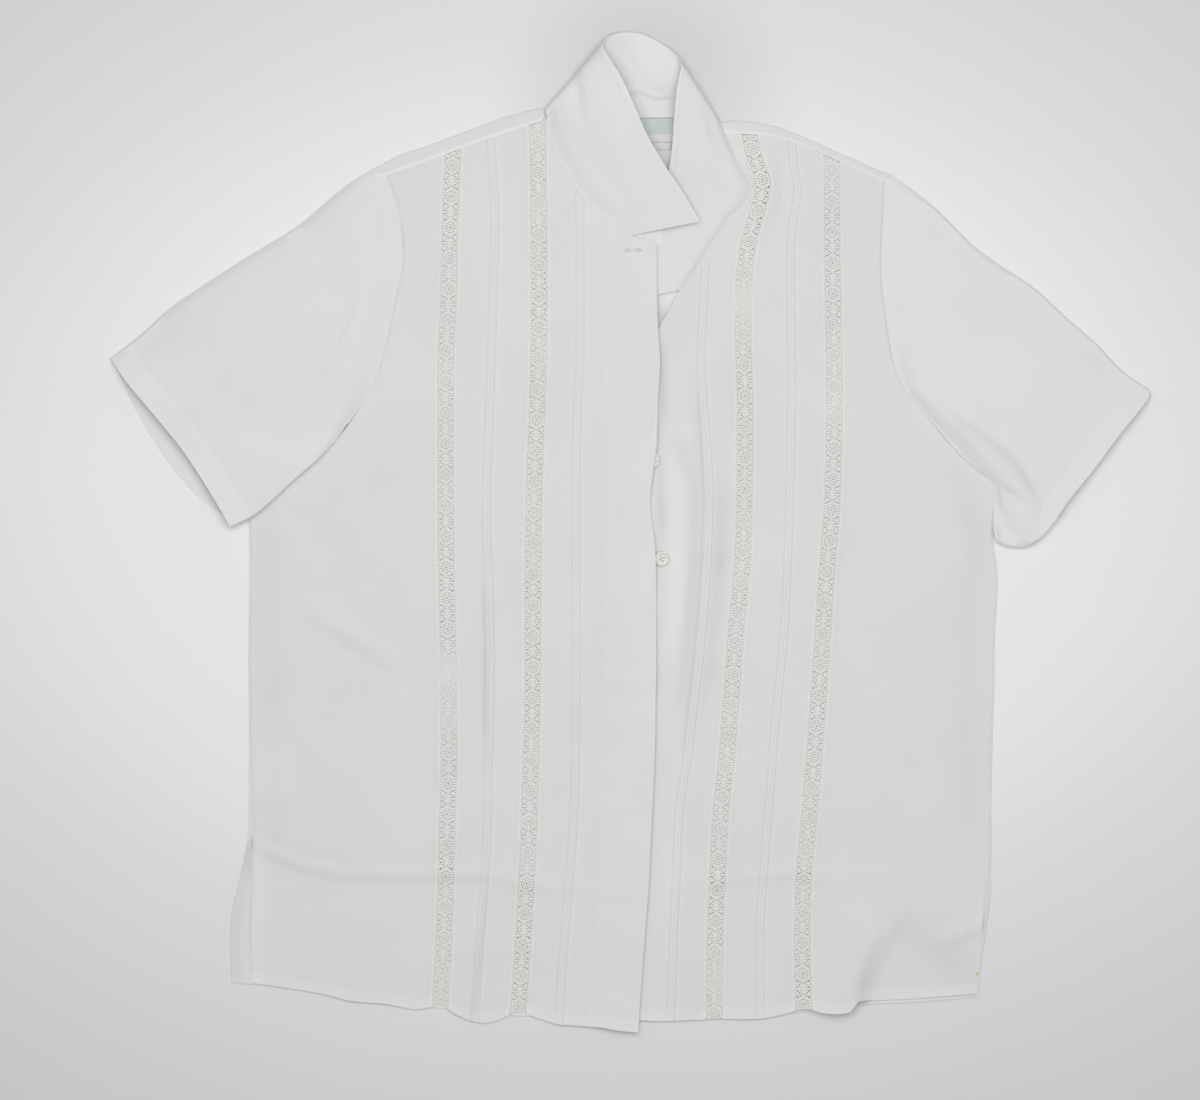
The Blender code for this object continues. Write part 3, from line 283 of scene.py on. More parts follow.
def one_fold(x, y, rows):
    """Height of one fold: a soft ridge with its own reach on each side of its line."""
    nearest = np.full(np.shape(x), np.inf)
    height = np.zeros(np.shape(x))
    for first, second in zip(rows[:-1], rows[1:]):
        run = np.array([second[0] - first[0], second[1] - first[1]])
        share = ((x - first[0]) * run[0] + (y - first[1]) * run[1]) / (run @ run)
        share = np.clip(share, 0.0, 1.0)
        away_x = x - first[0] - share * run[0]
        away_y = y - first[1] - share * run[1]
        distance = np.hypot(away_x, away_y)
        on_left = run[0] * away_y - run[1] * away_x > 0
        crest, left, right = [first[i] + share * (second[i] - first[i]) for i in (2, 3, 4)]
        here = crest * (1.0 - eased(distance / np.where(on_left, left, right)))
        closer = distance < nearest
        height = np.where(closer, here, height)
        nearest = np.where(closer, distance, nearest)
    return height


def fold_height(x, y, *tables):
    return sum(one_fold(x, y, rows) for table in tables for rows in table.values())


print("folds by hand:", len(FOLDS_LEFT) + len(FOLDS_RIGHT) + len(CREASES_LEFT)
      + len(CREASES_RIGHT))

# %% [markdown]
# ## Rumple
# Between the creases the cloth is never truly flat. A sum of a few long soft waves with
# fixed directions gives that, with no simulation: waves of 30 to 140 mm and a few tenths
# of a millimetre high. Every piece asks the same function, so the rumple runs on across
# the seams, as it does in cloth that is sewn together.

# %% Soft waves
WAVES = np.random.default_rng(11)
WAVE_LENGTHS = WAVES.uniform(32.0, 140.0, 16)
WAVE_TURNS = WAVES.uniform(0.0, math.pi, 16)
WAVE_STARTS = WAVES.uniform(0.0, 2 * math.pi, 16)


def rumple(x, y):
    """Height of the soft unevenness of cloth that lies loosely, in millimetres."""
    height = np.zeros(np.shape(x))
    for length, turn, start in zip(WAVE_LENGTHS, WAVE_TURNS, WAVE_STARTS):
        along_wave = x * math.cos(turn) + y * math.sin(turn)
        bend = 9.0 * np.sin((y * math.cos(turn) - x * math.sin(turn)) / 90.0 + start)
        height += 0.0011 * length * np.sin(2 * math.pi * (along_wave + bend) / length + start)
    return height


def left_front_height(x, y):
    return FRONT_LEVEL + fold_height(x, y, FOLDS_LEFT, CREASES_LEFT) + rumple(x, y)


def right_front_height(x, y):
    return FRONT_LEVEL + fold_height(x, y, FOLDS_RIGHT, CREASES_RIGHT) + rumple(x, y)


sample = np.meshgrid(np.linspace(-300, 300, 121), np.linspace(-380, 300, 137))
print("rumple from %.2f to %.2f mm" % (rumple(*sample).min(), rumple(*sample).max()))

# %% [markdown]
# ## Effects that several finishes share
# The weave is a node group, built once: two crossing bands of threads with some noise in
# them, since crepe is woven from tightly twisted threads that crinkle. It puts out a
# height for a bump and a mask of the threads, which sets the roughness. Each cloth, lace
# or label material then places it with its own thread size. Groups only pass on values
# and colours, and every shader stays in its own material.

# %% Node helpers
def new_group(name, inputs, outputs):
    group = bpy.data.node_groups.new(name, "ShaderNodeTree")
    for label, value in inputs.items():
        socket = group.interface.new_socket(label, in_out="INPUT",
                                            socket_type="NodeSocketFloat")
        socket.default_value = value
    for label in outputs:
        group.interface.new_socket(label, in_out="OUTPUT", socket_type="NodeSocketFloat")
    nodes = group.nodes
    return group, nodes.new("NodeGroupInput"), nodes.new("NodeGroupOutput")


def math_node(tree, kind, first, second=None):
    node = tree.nodes.new("ShaderNodeMath")
    node.operation = kind
    for socket, value in zip(node.inputs, (first, second)):
        if value is None:
            continue
        if isinstance(value, (int, float)):
            socket.default_value = value
        else:
            tree.links.new(value, socket)
    return node.outputs[0]


def scaled_noise(tree, place, scale, detail):
    noise = tree.nodes.new("ShaderNodeTexNoise")
    tree.links.new(place, noise.inputs["Vector"])
    if isinstance(scale, (int, float)):
        noise.inputs["Scale"].default_value = scale
    else:
        tree.links.new(scale, noise.inputs["Scale"])
    noise.inputs["Detail"].default_value = detail
    return noise.outputs["Fac"]


# %% Weave group
weave_group, weave_in, weave_out = new_group(
    "thread weave", {"Threads per metre": 2200.0, "Crinkle": 0.5}, ["Height", "Thread mask"])
place = weave_group.nodes.new("ShaderNodeTexCoord").outputs["Object"]
split = weave_group.nodes.new("ShaderNodeSeparateXYZ")
weave_group.links.new(place, split.inputs[0])
crinkle_scale = math_node(weave_group, "MULTIPLY", weave_in.outputs["Threads per metre"], 0.45)
crinkle = scaled_noise(weave_group, place, crinkle_scale, 2.0)
threads = []
for axis in ("X", "Y"):
    count = math_node(weave_group, "MULTIPLY", split.outputs[axis],
                      weave_in.outputs["Threads per metre"])
    angle = math_node(weave_group, "MULTIPLY", count, 2 * math.pi)
    wandering = math_node(weave_group, "MULTIPLY", crinkle, 9.0)
    threads.append(math_node(weave_group, "SINE",
                             math_node(weave_group, "ADD", angle, wandering)))
crossing = math_node(weave_group, "MULTIPLY", threads[0], threads[1])
woven = math_node(weave_group, "MULTIPLY_ADD", crossing, 0.5)
woven.node.inputs[2].default_value = 0.5
crinkled = math_node(weave_group, "MULTIPLY", crinkle, weave_in.outputs["Crinkle"])
weave_group.links.new(math_node(weave_group, "ADD", woven, crinkled),
                      weave_out.inputs["Height"])
weave_group.links.new(woven, weave_out.inputs["Thread mask"])

# %% Unevenness group
uneven_group, uneven_in, uneven_out = new_group(
    "cloth unevenness", {"Patch size": 14.0, "Lowest": 0.97}, ["Shade"])
uneven_place = uneven_group.nodes.new("ShaderNodeTexCoord").outputs["Object"]
patches = scaled_noise(uneven_group, uneven_place, uneven_in.outputs["Patch size"], 3.0)
ramp = uneven_group.nodes.new("ShaderNodeMapRange")
uneven_group.links.new(patches, ramp.inputs["Value"])
ramp.inputs["From Min"].default_value = 0.3
ramp.inputs["From Max"].default_value = 0.7
uneven_group.links.new(uneven_in.outputs["Lowest"], ramp.inputs["To Min"])
ramp.inputs["To Max"].default_value = 1.0
uneven_group.links.new(ramp.outputs[0], uneven_out.inputs["Shade"])
print("node groups:", [group.name for group in bpy.data.node_groups])

# %% [markdown]
# ## Finishes
# The cloth is a white crepe so thin that two layers look whiter than one, and that it
# looks greyer where it hangs free of the layer below. Each piece therefore carries a
# number on its points for its layers: 0 is one layer that lies on another, 1 is a double
# layer and -1 is a single layer that hangs free. The same number also carries painted
# shade and painted light. It is lowered in hollows, beside folds and tucks and under
# edges, and raised on tuck crests and where the back shows far down in the neck. The
# colour follows it. Sheen gives the soft edge light of fine fibres. The lace is a warmer
# white cotton, the buttons are pearly, and the label is woven in mint.

# %% Nodes that several finishes use
def new_finish(name):
    """A material with its node tree and its shader."""
    finish = bpy.data.materials.new(name)
    finish.use_nodes = True
    return finish, finish.node_tree, finish.node_tree.nodes["Principled BSDF"]


def object_place(tree):
    return tree.nodes.new("ShaderNodeTexCoord").outputs["Object"]


def scaled(tree, value, factor, added):
    """A value times a factor, plus a constant."""
    result = math_node(tree, "MULTIPLY_ADD", value, factor)
    result.node.inputs[2].default_value = added
    return result


def mixed(tree, first, second, share=1.0, kind="MULTIPLY"):
    """Two colours mixed by a share; each may be a constant or another node's socket."""
    mix = tree.nodes.new("ShaderNodeMix")
    mix.data_type = "RGBA"
    mix.blend_type = kind
    for socket, value in (("Factor", share), ("A", first), ("B", second)):
        if isinstance(value, bpy.types.NodeSocket):
            tree.links.new(value, mix.inputs[socket])
        else:
            mix.inputs[socket].default_value = value
    return mix.outputs["Result"]


def over_base_colour(finish, second, share=1.0, kind="MULTIPLY"):
    """Mix something into the base colour that a finish already has."""
    tree = finish.node_tree
    base = tree.nodes["Principled BSDF"].inputs["Base Color"]
    tree.links.new(mixed(tree, base.links[0].from_socket, second, share, kind), base)


def ranged(tree, value, before, after, interpolation="LINEAR"):
    """A value carried from one range, given by its two ends, to another."""
    ramp = tree.nodes.new("ShaderNodeMapRange")
    ramp.interpolation_type = interpolation
    tree.links.new(value, ramp.inputs["Value"])
    for socket, end in zip(("From Min", "From Max", "To Min", "To Max"), (*before, *after)):
        ramp.inputs[socket].default_value = end
    return ramp.outputs[0]


def distance_from(tree, point, place):
    far = tree.nodes.new("ShaderNodeVectorMath")
    far.operation = "DISTANCE"
    far.inputs[1].default_value = point
    tree.links.new(place, far.inputs[0])
    return far.outputs["Value"]


# %% One maker for all woven finishes
def woven_finish(name, thin, double, threads_per_metre, bump, roughness, sheen):
    """A woven material whose colour goes from thin to double with the number on the points,
    which holds the layers of the cloth and painted shade and light.
    """
    finish, tree, shader = new_finish(name)
    weave = tree.nodes.new("ShaderNodeGroup")
    weave.node_tree = weave_group
    weave.inputs["Threads per metre"].default_value = threads_per_metre
    uneven = tree.nodes.new("ShaderNodeGroup")
    uneven.node_tree = uneven_group
    ply_and_painted_light = tree.nodes.new("ShaderNodeAttribute")
    ply_and_painted_light.attribute_name = "ply_and_painted_light"
    half_way = scaled(tree, ply_and_painted_light.outputs["Fac"], 0.5, 0.5)
    colour = mixed(tree, (*thin, 1.0), (*double, 1.0), half_way, "MIX")
    shade = mixed(tree, colour, uneven.outputs["Shade"])
    tree.links.new(shade, shader.inputs["Base Color"])
    rough = scaled(tree, weave.outputs["Thread mask"], 0.12, roughness)
    tree.links.new(rough, shader.inputs["Roughness"])
    relief = tree.nodes.new("ShaderNodeBump")
    relief.inputs["Strength"].default_value = bump
    relief.inputs["Distance"].default_value = 0.0002
    tree.links.new(weave.outputs["Height"], relief.inputs["Height"])
    tree.links.new(relief.outputs["Normal"], shader.inputs["Normal"])
    shader.inputs["Sheen Weight"].default_value = sheen
    shader.inputs["Sheen Roughness"].default_value = 0.4
    shader.inputs["Specular IOR Level"].default_value = 0.2
    return finish


crepe = woven_finish("white crepe", (0.725, 0.723, 0.71), (0.91, 0.913, 0.90), 2600.0, 0.3,
                     0.72, 0.08)
collar_cloth = woven_finish("white collar cloth", (0.75, 0.75, 0.725), (0.92, 0.92, 0.90),
                            2600.0, 0.3, 0.7, 0.08)
sewing_thread = woven_finish("white sewing thread", (0.78, 0.78, 0.77), (0.88, 0.88, 0.87),
                             4200.0, 0.5, 0.55, 0.1)
mint_label = woven_finish("mint woven label", (0.715, 0.84, 0.80), (0.84, 0.925, 0.90),
                          1900.0, 0.9, 0.6, 0.1)
white_tape = woven_finish("white label tape", (0.95, 0.95, 0.94), (0.98, 0.98, 0.97),
                          1900.0, 0.9, 0.6, 0.1)

# %% White lower part of the label
LABEL_WHITE_BELOW = 0.3182
LABEL_WHITE = (0.97, 0.97, 0.96, 1.0)
tree = mint_label.node_tree
label_place = tree.nodes.new("ShaderNodeSeparateXYZ")
tree.links.new(object_place(tree), label_place.inputs["Vector"])
label_mask = math_node(tree, "LESS_THAN", label_place.outputs["Y"], LABEL_WHITE_BELOW)
over_base_colour(mint_label, LABEL_WHITE, label_mask, "MIX")

# %% [markdown]
# The garment has one small yellow spot at the lower corner of the right front. It is a
# stain in the cloth, so it belongs in the colour: a distance from one place, turned into
# a soft mask, mixes the yellow in.

# %% Stain at the corner of the hem
STAIN_PLACE = (0.2780, -0.3532, 0.0025)
STAIN_EDGE = (0.0008, 0.0022)
STAIN_COLOUR = (0.80, 0.52, 0.14, 1.0)
tree = crepe.node_tree
stain_mask = ranged(tree, distance_from(tree, STAIN_PLACE, object_place(tree)),
                    STAIN_EDGE, (0.8, 0.0), "SMOOTHSTEP")
over_base_colour(crepe, STAIN_COLOUR, stain_mask, "MIX")
print("one stain, about 3 mm across")

# %% [markdown]
# The lace is cotton, a little creamier than the crepe. Between its cords lies a net too
# fine to cut out of a mesh. A cell texture draws it in the colour only: each cell is one
# small gap of the net, painted darker than the thread round it as painted shade of the hole.

# %% Finish of the lace
lace_thread = woven_finish("cream lace thread", (0.96, 0.945, 0.895), (1.0, 0.99, 0.95),
                           3400.0, 0.7, 0.7, 0.1)
tree = lace_thread.node_tree
net_gap_shade = tree.nodes.new("ShaderNodeTexVoronoi")
net_gap_shade.inputs["Scale"].default_value = 760.0
net_gap_shade.inputs["Randomness"].default_value = 0.75
tree.links.new(object_place(tree), net_gap_shade.inputs["Vector"])
over_base_colour(lace_thread,
                 ranged(tree, net_gap_shade.outputs["Distance"], (0.14, 0.3), (0.72, 1.0)))

# %% Pearly finish of the buttons
pearl, tree, shader = new_finish("pearly button")
swirl = tree.nodes.new("ShaderNodeTexWave")
swirl.wave_type = "RINGS"
for socket, value in (("Scale", 120.0), ("Distortion", 9.0), ("Detail", 3.0),
                      ("Detail Scale", 2.0)):
    swirl.inputs[socket].default_value = value
tree.links.new(object_place(tree), swirl.inputs["Vector"])
pearl_ramp = tree.nodes.new("ShaderNodeValToRGB")
pearl_ramp.color_ramp.elements[0].color = (0.74, 0.73, 0.64, 1.0)
pearl_ramp.color_ramp.elements[1].color = (0.92, 0.92, 0.86, 1.0)
tree.links.new(swirl.outputs["Fac"], pearl_ramp.inputs["Fac"])
tree.links.new(pearl_ramp.outputs["Color"], shader.inputs["Base Color"])
tree.links.new(scaled(tree, swirl.outputs["Fac"], 0.15, 0.22), shader.inputs["Roughness"])
shader.inputs["Coat Weight"].default_value = 0.4
shader.inputs["Subsurface Weight"].default_value = 0.1
print("finishes:", sorted(item.name for item in bpy.data.materials if item.use_nodes)[:12])

# %% [markdown]
# ## From a grid of points to a piece of cloth
# A real panel has two faces and an edge. Both faces are given as grids of points, and the
# rim between them is closed, so the cloth has a thickness wherever an edge shows. The
# upper face may carry tucks and seams while the lower one stays plain.

# %% Shells
def grid_faces(rows, columns, closed=False):
    steps = columns if closed else columns - 1
    row, column = np.meshgrid(np.arange(rows - 1), np.arange(steps), indexing="ij")
    following = (column + 1) % columns
    return np.stack([row * columns + column, row * columns + following,
                     (row + 1) * columns + following, (row + 1) * columns + column],
                    axis=-1).reshape(-1, 4)


def make_piece(name, points, faces, finish, ply_and_painted_light=None, replaces=(), crease_angle=50.0):
    """A mesh that rides with the garment and stands for its solids."""
    mesh = bpy.data.meshes.new(name)
    mesh.from_pydata((np.asarray(points) * MILLIMETRE).tolist(), [],
                     [tuple(face) for face in np.asarray(faces, dtype=object).tolist()]
                     if not isinstance(faces, np.ndarray) else faces.tolist())
    mesh.materials.append(finish)
    mesh.polygons.foreach_set("use_smooth", np.ones(len(mesh.polygons), dtype=bool))
    mesh.set_sharp_from_angle(angle=math.radians(crease_angle))
    if ply_and_painted_light is not None:
        layer = mesh.attributes.new("ply_and_painted_light", "FLOAT", "POINT")
        layer.data.foreach_set("value", np.asarray(ply_and_painted_light, dtype=np.float32).ravel())
    piece = bpy.data.objects.new(name, mesh)
    bpy.context.scene.collection.objects.link(piece)
    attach(piece, "root")
    if replaces:
        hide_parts(*replaces)
    corners = sum(len(polygon.vertices) - 2 for polygon in mesh.polygons)
    print("%-26s %6d triangles" % (name, corners))
    return piece


def rim_faces(rows, columns, closed=False):
    """Edges round the rim of a grid, as pairs of points."""
    pairs = []
    for first, second in zip(range(columns - 1), range(1, columns)):
        pairs.append((first, second))
        top = (rows - 1) * columns
        pairs.append((top + second, top + first))
    if closed:
        pairs.append((columns - 1, 0))
        pairs.append(((rows - 1) * columns, rows * columns - 1))
        return np.array(pairs)
    for row in range(rows - 1):
        pairs.append(((row + 1) * columns, row * columns))
        pairs.append((row * columns + columns - 1, (row + 1) * columns + columns - 1))
    return np.array(pairs)


def shell(name, upper, lower, finish, ply_and_painted_light=None, closed=False, stands_in=True):
    """A piece of cloth between an upper and a lower grid of points."""
    rows, columns = upper.shape[:2]
    count = rows * columns
    face = grid_faces(rows, columns, closed)
    rim = rim_faces(rows, columns, closed)
    faces = np.vstack([face, face[:, ::-1] + count,
                       np.stack([rim[:, 1], rim[:, 0], rim[:, 0] + count,
                                 rim[:, 1] + count], axis=-1)])
    points = np.vstack([upper.reshape(-1, 3), lower.reshape(-1, 3)])
    if ply_and_painted_light is None:
        ply_and_painted_light = np.zeros((rows, columns))
    both = np.concatenate([np.ravel(ply_and_painted_light), np.ravel(ply_and_painted_light)])
    return make_piece(name + "_cloth", points, faces, finish, both,
                      (name,) if stands_in else ())


def grid_normals(grid, closed=False):
    """Unit normals of a grid of points, with columns that may join round a tube."""
    if closed:
        across = np.roll(grid, -1, axis=1) - np.roll(grid, 1, axis=1)
    else:
        across = np.gradient(grid, axis=1)
    turn = np.cross(across, np.gradient(grid, axis=0))
    return turn / (np.linalg.norm(turn, axis=-1, keepdims=True) + 1e-9)


# %% [markdown]
# ## Panels of the fronts
# Each front is cut into upright strips, with lace between them. A pin tuck is a narrow
# fold, stitched at its foot, that stands up about a millimetre and leans over. A bump
# map can't cast the thin shadow that makes it show, so it is real relief: eight columns of
# the grid follow its foot, its flanks and its crest. The colour adds a painted highlight
# on the crest and a painted shadow just beside it. Beside the lace the cloth is turned
# under, which gives a smooth band, and the hem is turned up.

# %% Columns and rows of a panel
# Rows across one tuck: offset, lift and a painted tone, a painted highlight on the crest and a
# painted shadow just beside it.
TUCK_PROFILE = [(-1.25, 0.0, 0.0), (-1.05, 0.3, 0.25), (-0.7, 0.55, 0.4), (-0.35, 0.55, 0.2),
                (-0.05, 0.1, -0.45), (0.35, 0.0, -0.4), (0.7, 0.0, 0.15), (1.1, 0.0, 0.2)]
TUCK_SHARES = [1.0, 0.5, 1.0]
EDGE_BAND = [0.0, 0.45, 1.2, 2.3, 2.8]


def between(first, second, count):
    """Lines at equal shares between two lines, both ends left out."""
    shares = [(order + 1) / (count + 1) for order in range(count)]
    return [lambda y, share=share: (1 - share) * first(y) + share * second(y)
            for share in shares]


def fitted(left, right, offset, from_left):
    """A line at an offset inside a panel, drawn in where the panel is narrow."""
    def place(y):
        room = np.minimum(1.0, (right(y) - left(y)) / 16.0)
        return left(y) + offset * room if from_left else right(y) - offset * room
    return place


def tuck_columns(table, left, right):
    """Lines along the foot, flanks and crest of three tucks, kept inside the panel."""
    centre = upright_line(table)
    offsets = [(order - 1) * TUCK_SPACING + side for order in range(3)
               for side, _, _ in TUCK_PROFILE]
    count = len(offsets)

    def line(offset, order):
        def place(y):
            room = np.minimum(1.0, (right(y) - left(y)) / 16.0)
            low = left(y) + (3.2 + 0.1 * order) * room
            high = right(y) - (3.2 + 0.1 * (count - order)) * room
            return np.clip(centre(y) + offset, low, high)
        return place
    return [line(offset, order) for order, offset in enumerate(offsets)], centre


def spread_rows(low, high, count):
    """Heights of the rows of one column: close together at the hem, then even."""
    hem = np.array([0.0, 0.5, 2.4, 4.6, HEM_DEPTH - 0.5, HEM_DEPTH, HEM_DEPTH + 0.9])
    above = low + hem[-1] + (high - low - hem[-1]) * np.linspace(0.0, 1.0, count + 1)[1:]
    return np.concatenate([low + hem, above])


# %% Build one front panel
def front_panel(name, left, right, hem, top, height, tucks=None, bands=(True, True),
                extra_lines=(), layers_and_painted_light_at=None, drops=(False, False)):
    """One panel of a front as a thin shell, with its tucks, bands and hem."""
    lines = [fitted(left, right, offset, True) for offset in EDGE_BAND]
    crest = [0.0] * len(lines)
    # dark holds the painted tone of each column: painted highlight on tuck crests and painted
    # shadow beside them.
    dark = [0.0] * len(lines)
    band = [0.22 if bands[0] and offset < 2.5 else 0.0 for offset in EDGE_BAND]
    stops = []
    centre = None
    if tucks is not None:
        group, centre = tuck_columns(tucks, left, right)
        stops = [(group, [share * lift for share in TUCK_SHARES
                           for _, lift, _ in TUCK_PROFILE])]
    for line in extra_lines:
        stops.append(([line, lambda y, line=line: line(y) + 0.6], [0.0, 0.0]))
    last = fitted(left, right, EDGE_BAND[-1], False)
    for group, lifts in stops + [([last], [0.0])]:
        room = float(np.mean(group[0](np.linspace(-250, 100, 9))
                             - lines[-1](np.linspace(-250, 100, 9))))
        filling = between(lines[-1], group[0], max(1, int(round(room / GRID)) - 1))
        lines += filling + group
        crest += [0.0] * len(filling) + lifts
        # Painted highlight and painted shadow of the tucks, column by column.
        foot = ([share * tone for share in TUCK_SHARES for _, _, tone in TUCK_PROFILE]
                if len(group) == 3 * len(TUCK_PROFILE) else [0.0] * len(group))
        dark += [0.0] * len(filling) + foot
        band += [0.0] * (len(filling) + len(group))
    for offset in EDGE_BAND[-2::-1]:
        lines.append(fitted(left, right, offset, False))
        crest.append(0.0)
        dark.append(0.0)
        band.append(0.22 if bands[1] and offset < 2.5 else 0.0)
    columns = []
    for line in lines:
        low = meeting(line, hem, -385.0)
        high = meeting(line, top, 300.0)
        y = spread_rows(low, high, 215)
        columns.append(np.stack([line(y), y], axis=-1))
    plan = np.stack(columns, axis=1)
    x, y = plan[..., 0], plan[..., 1]
    base = height(x, y)
    lift = np.array(crest)[None, :] * np.ones_like(x)
    if centre is not None:
        room = np.minimum(centre(y[:, :1]) - x[:, :1], x[:, -1:] - centre(y[:, -1:]))
        lift = lift * eased((room - 5.0) / 3.0)
    hem_band = np.zeros_like(x)
    hem_band[:6] = 0.25
    for side, drop in enumerate(drops):
        if drop:
            from_edge = np.abs(x - x[:, [0, -1][side]][:, None])
            base = base - 0.7 * (1 - eased(from_edge / 2.4))
    upper = np.dstack([x, y, base + CLOTH / 2 + lift + np.maximum(band, hem_band)])
    lower = np.dstack([x, y, base - CLOTH / 2])
    ply_and_painted_light = np.where(hem_band > 0, 0.35, 0.0) + np.array(band)[None, :] * 1.6
    # The painted tone of the tucks is added, then the layers and the painted shade and light
    # given for the panel.
    ply_and_painted_light = ply_and_painted_light + np.array(dark)[None, :]
    if layers_and_painted_light_at is not None:
        ply_and_painted_light = ply_and_painted_light + layers_and_painted_light_at(x, y)
    return shell(name, upper, lower, crepe, np.clip(ply_and_painted_light, -1.0, 1.0))


def beside(table, offset):
    line = upright_line(table)
    return lambda y: line(y) + offset


HALF_LACE = LACE_WIDTH / 2
hem_left, hem_right = level_line(HEM_LEFT), level_line(HEM_RIGHT)
shoulder_left, shoulder_right = level_line(SHOULDER_LEFT), level_line(SHOULDER_RIGHT)
neck_left = level_line(NECK_LEFT)
placket_left = upright_line(PLACKET_LEFT)

# %% The panels of the left front
# Tones for the colour of the left front, in rows like those of the creases with a tone in place
# of a height: painted shade at the side, beside the first tucks, under the arm and above the
# storage crease, and darker at the shoulder. The doubled edge and the second layer near the
# neck are layers that show through.
SHADE_LEFT = {
    "painted shade at the side": [
        (-288, 20, -0.2, 10, 22), (-284, -120, -0.3, 12, 24), (-282, -240, -0.2, 12, 20)],
    "darker at the left shoulder": [
        (-196, 272, -0.15, 30, 30), (-172, 286, -0.15, 30, 30), (-128, 300, 0, 20, 20)],
    "doubled at the edge": [
        (12, 60, 0.12, 30, 30), (14, -60, 0.12, 30, 30), (10, -200, 0.0, 20, 20)],
    "painted shade beside the first tucks": [
        (-113, -240, 0, 3, 3), (-115, -290, -0.5, 3, 5), (-121, -350, -0.7, 4, 6),
        (-125, -388, -0.5, 4, 6)],
    "shade under the left arm": [
        (-236, 86, 0, 3, 8), (-248, 66, -0.6, 5, 10), (-262, 50, -0.4, 4, 9),
        (-276, 40, 0, 3, 6)],
    "painted shade above the storage crease": [
        (-299, -238, -0.2, 6, 8), (-259, -256, -0.3, 6, 8), (-215, -263, -0.25, 6, 8),
        (-150, -264, 0, 6, 8)],
    "second layer near the neck": [
        (-30, 250, 0.15, 30, 30), (-24, 160, 0.15, 30, 30), (-20, 60, 0.0, 30, 30)],
}
# Tones for the colour of the right front, in the same rows: painted shade at the side, under
# the left edge, beside the standing tucks and their fold, in two small triangles, beside the
# turned hem, under the arm and on the flap, and painted light between the folds.
SHADE_RIGHT = {
    "painted shade at the side": [
        (272, 20, -0.1, 22, 10), (268, -120, -0.25, 26, 14), (266, -250, -0.2, 26, 14)],
    "shadow under the left edge": [
        (23, 160, 0, 6, 5), (25, 132, -1.2, 8, 6), (25.5, 100, -1.2, 8, 6),
        (23, 74, -0.5, 6, 5), (24, 40, -0.6, 6, 5), (25, 10, -0.9, 7, 6), (26, -10, 0, 5, 5)],
    "painted shade beside the bright fold": [
        (46, 60, 0, 6, 6), (50, 20, -0.45, 7, 7), (50, -30, -0.5, 7, 7), (46, -80, -0.5, 6, 7),
        (40, -130, -0.3, 6, 6), (34, -160, 0, 5, 5)],
    "painted shade beside the standing tucks": [
        (76, 60, 0, 10, 10), (77, 10, -0.25, 12, 13), (73, -60, -0.25, 12, 13),
        (66, -120, 0, 9, 9)],
    "painted light between the folds": [
        (32, 80, 0, 12, 12), (38, 30, 0.5, 14, 14), (36, -60, 0.6, 12, 12),
        (30, -120, 0, 8, 8)],
    "slanting shadow": [
        (30, 86, 0, 8, 8), (42, 62, -0.6, 10, 10), (50, 34, 0, 8, 8)],
    "painted shade triangle beside the tucks": [
        (74, -8, 0, 6, 6), (72, -24, -0.5, 9, 11), (70, -36, 0, 6, 6)],
    "second painted shade triangle": [
        (72, -96, 0, 6, 6), (66, -112, -0.5, 9, 11), (62, -126, 0, 6, 6)],
    "painted shade beside the turned hem": [
        (207, -308, 0, 5, 6), (194, -333, -0.5, 7, 9), (185, -360, -0.8, 6, 9),
        (182, -386, -0.6, 6, 8)],
    "shade under the right arm": [
        (246, 78, 0, 10, 10), (262, 40, -0.25, 18, 14), (272, 0, -0.25, 20, 12),
        (272, -60, 0, 20, 12)],
    "flap in the shade": [
        (200, -300, -0.1, 14, 14), (240, -330, -0.4, 24, 24), (262, -350, -0.3, 24, 24)],
}


def side_layers_and_painted_light_left(x, y):
    """Layers that show through at the side, the care label and the edge of the slit, with the
    painted shade of the left front added.
    """
    label = (eased((x + 300.5) / 3) * eased((-265.0 - x) / 3)
             * eased((y + 212.0) / 3) * eased((-170.0 - y) / 3))
    slit = eased((-290.0 - x) / 4) * eased((-246.0 - y) / 6)
    return 0.2 * label + 0.3 * slit + fold_height(x, y, SHADE_LEFT)


# The doubled placket, with the painted shade of the left front added.
def placket_layers_and_painted_light_left(x, y):
    return np.where(x > placket_left(y) + 0.3, 0.16, 0.0) + fold_height(x, y, SHADE_LEFT)


left_shared = dict(hem=hem_left, height=left_front_height)
front_left_side = front_panel(
    "front_left_side", upright_line(SIDE_LEFT), beside(LACE_1, -HALF_LACE - SEAM_ROOM),
    top=shoulder_left, bands=(False, True), layers_and_painted_light_at=side_layers_and_painted_light_left, drops=(True, False),
    **left_shared)
front_left_middle = front_panel(
    "front_left_middle", beside(LACE_1, HALF_LACE + SEAM_ROOM),
    beside(LACE_2, -HALF_LACE - SEAM_ROOM), top=shoulder_left, tucks=TUCKS_1,
    layers_and_painted_light_at=lambda x, y: fold_height(x, y, SHADE_LEFT), **left_shared)
front_left_inner = front_panel(
    "front_left_inner", beside(LACE_2, HALF_LACE + SEAM_ROOM), upright_line(EDGE_LEFT),
    top=neck_left, tucks=TUCKS_2, bands=(True, False), extra_lines=[placket_left],
    layers_and_painted_light_at=placket_layers_and_painted_light_left, **left_shared)

# %% The panels of the right front
edge_right = upright_line(EDGE_RIGHT)


# The doubled edge of the right front, with its painted shade and light added.
def placket_layers_and_painted_light_right(x, y):
    doubled = 0.2 * eased((edge_right(y) + 44.0 - x) / 3) * eased((150 - y) / 20)
    return doubled + fold_height(x, y, SHADE_RIGHT)


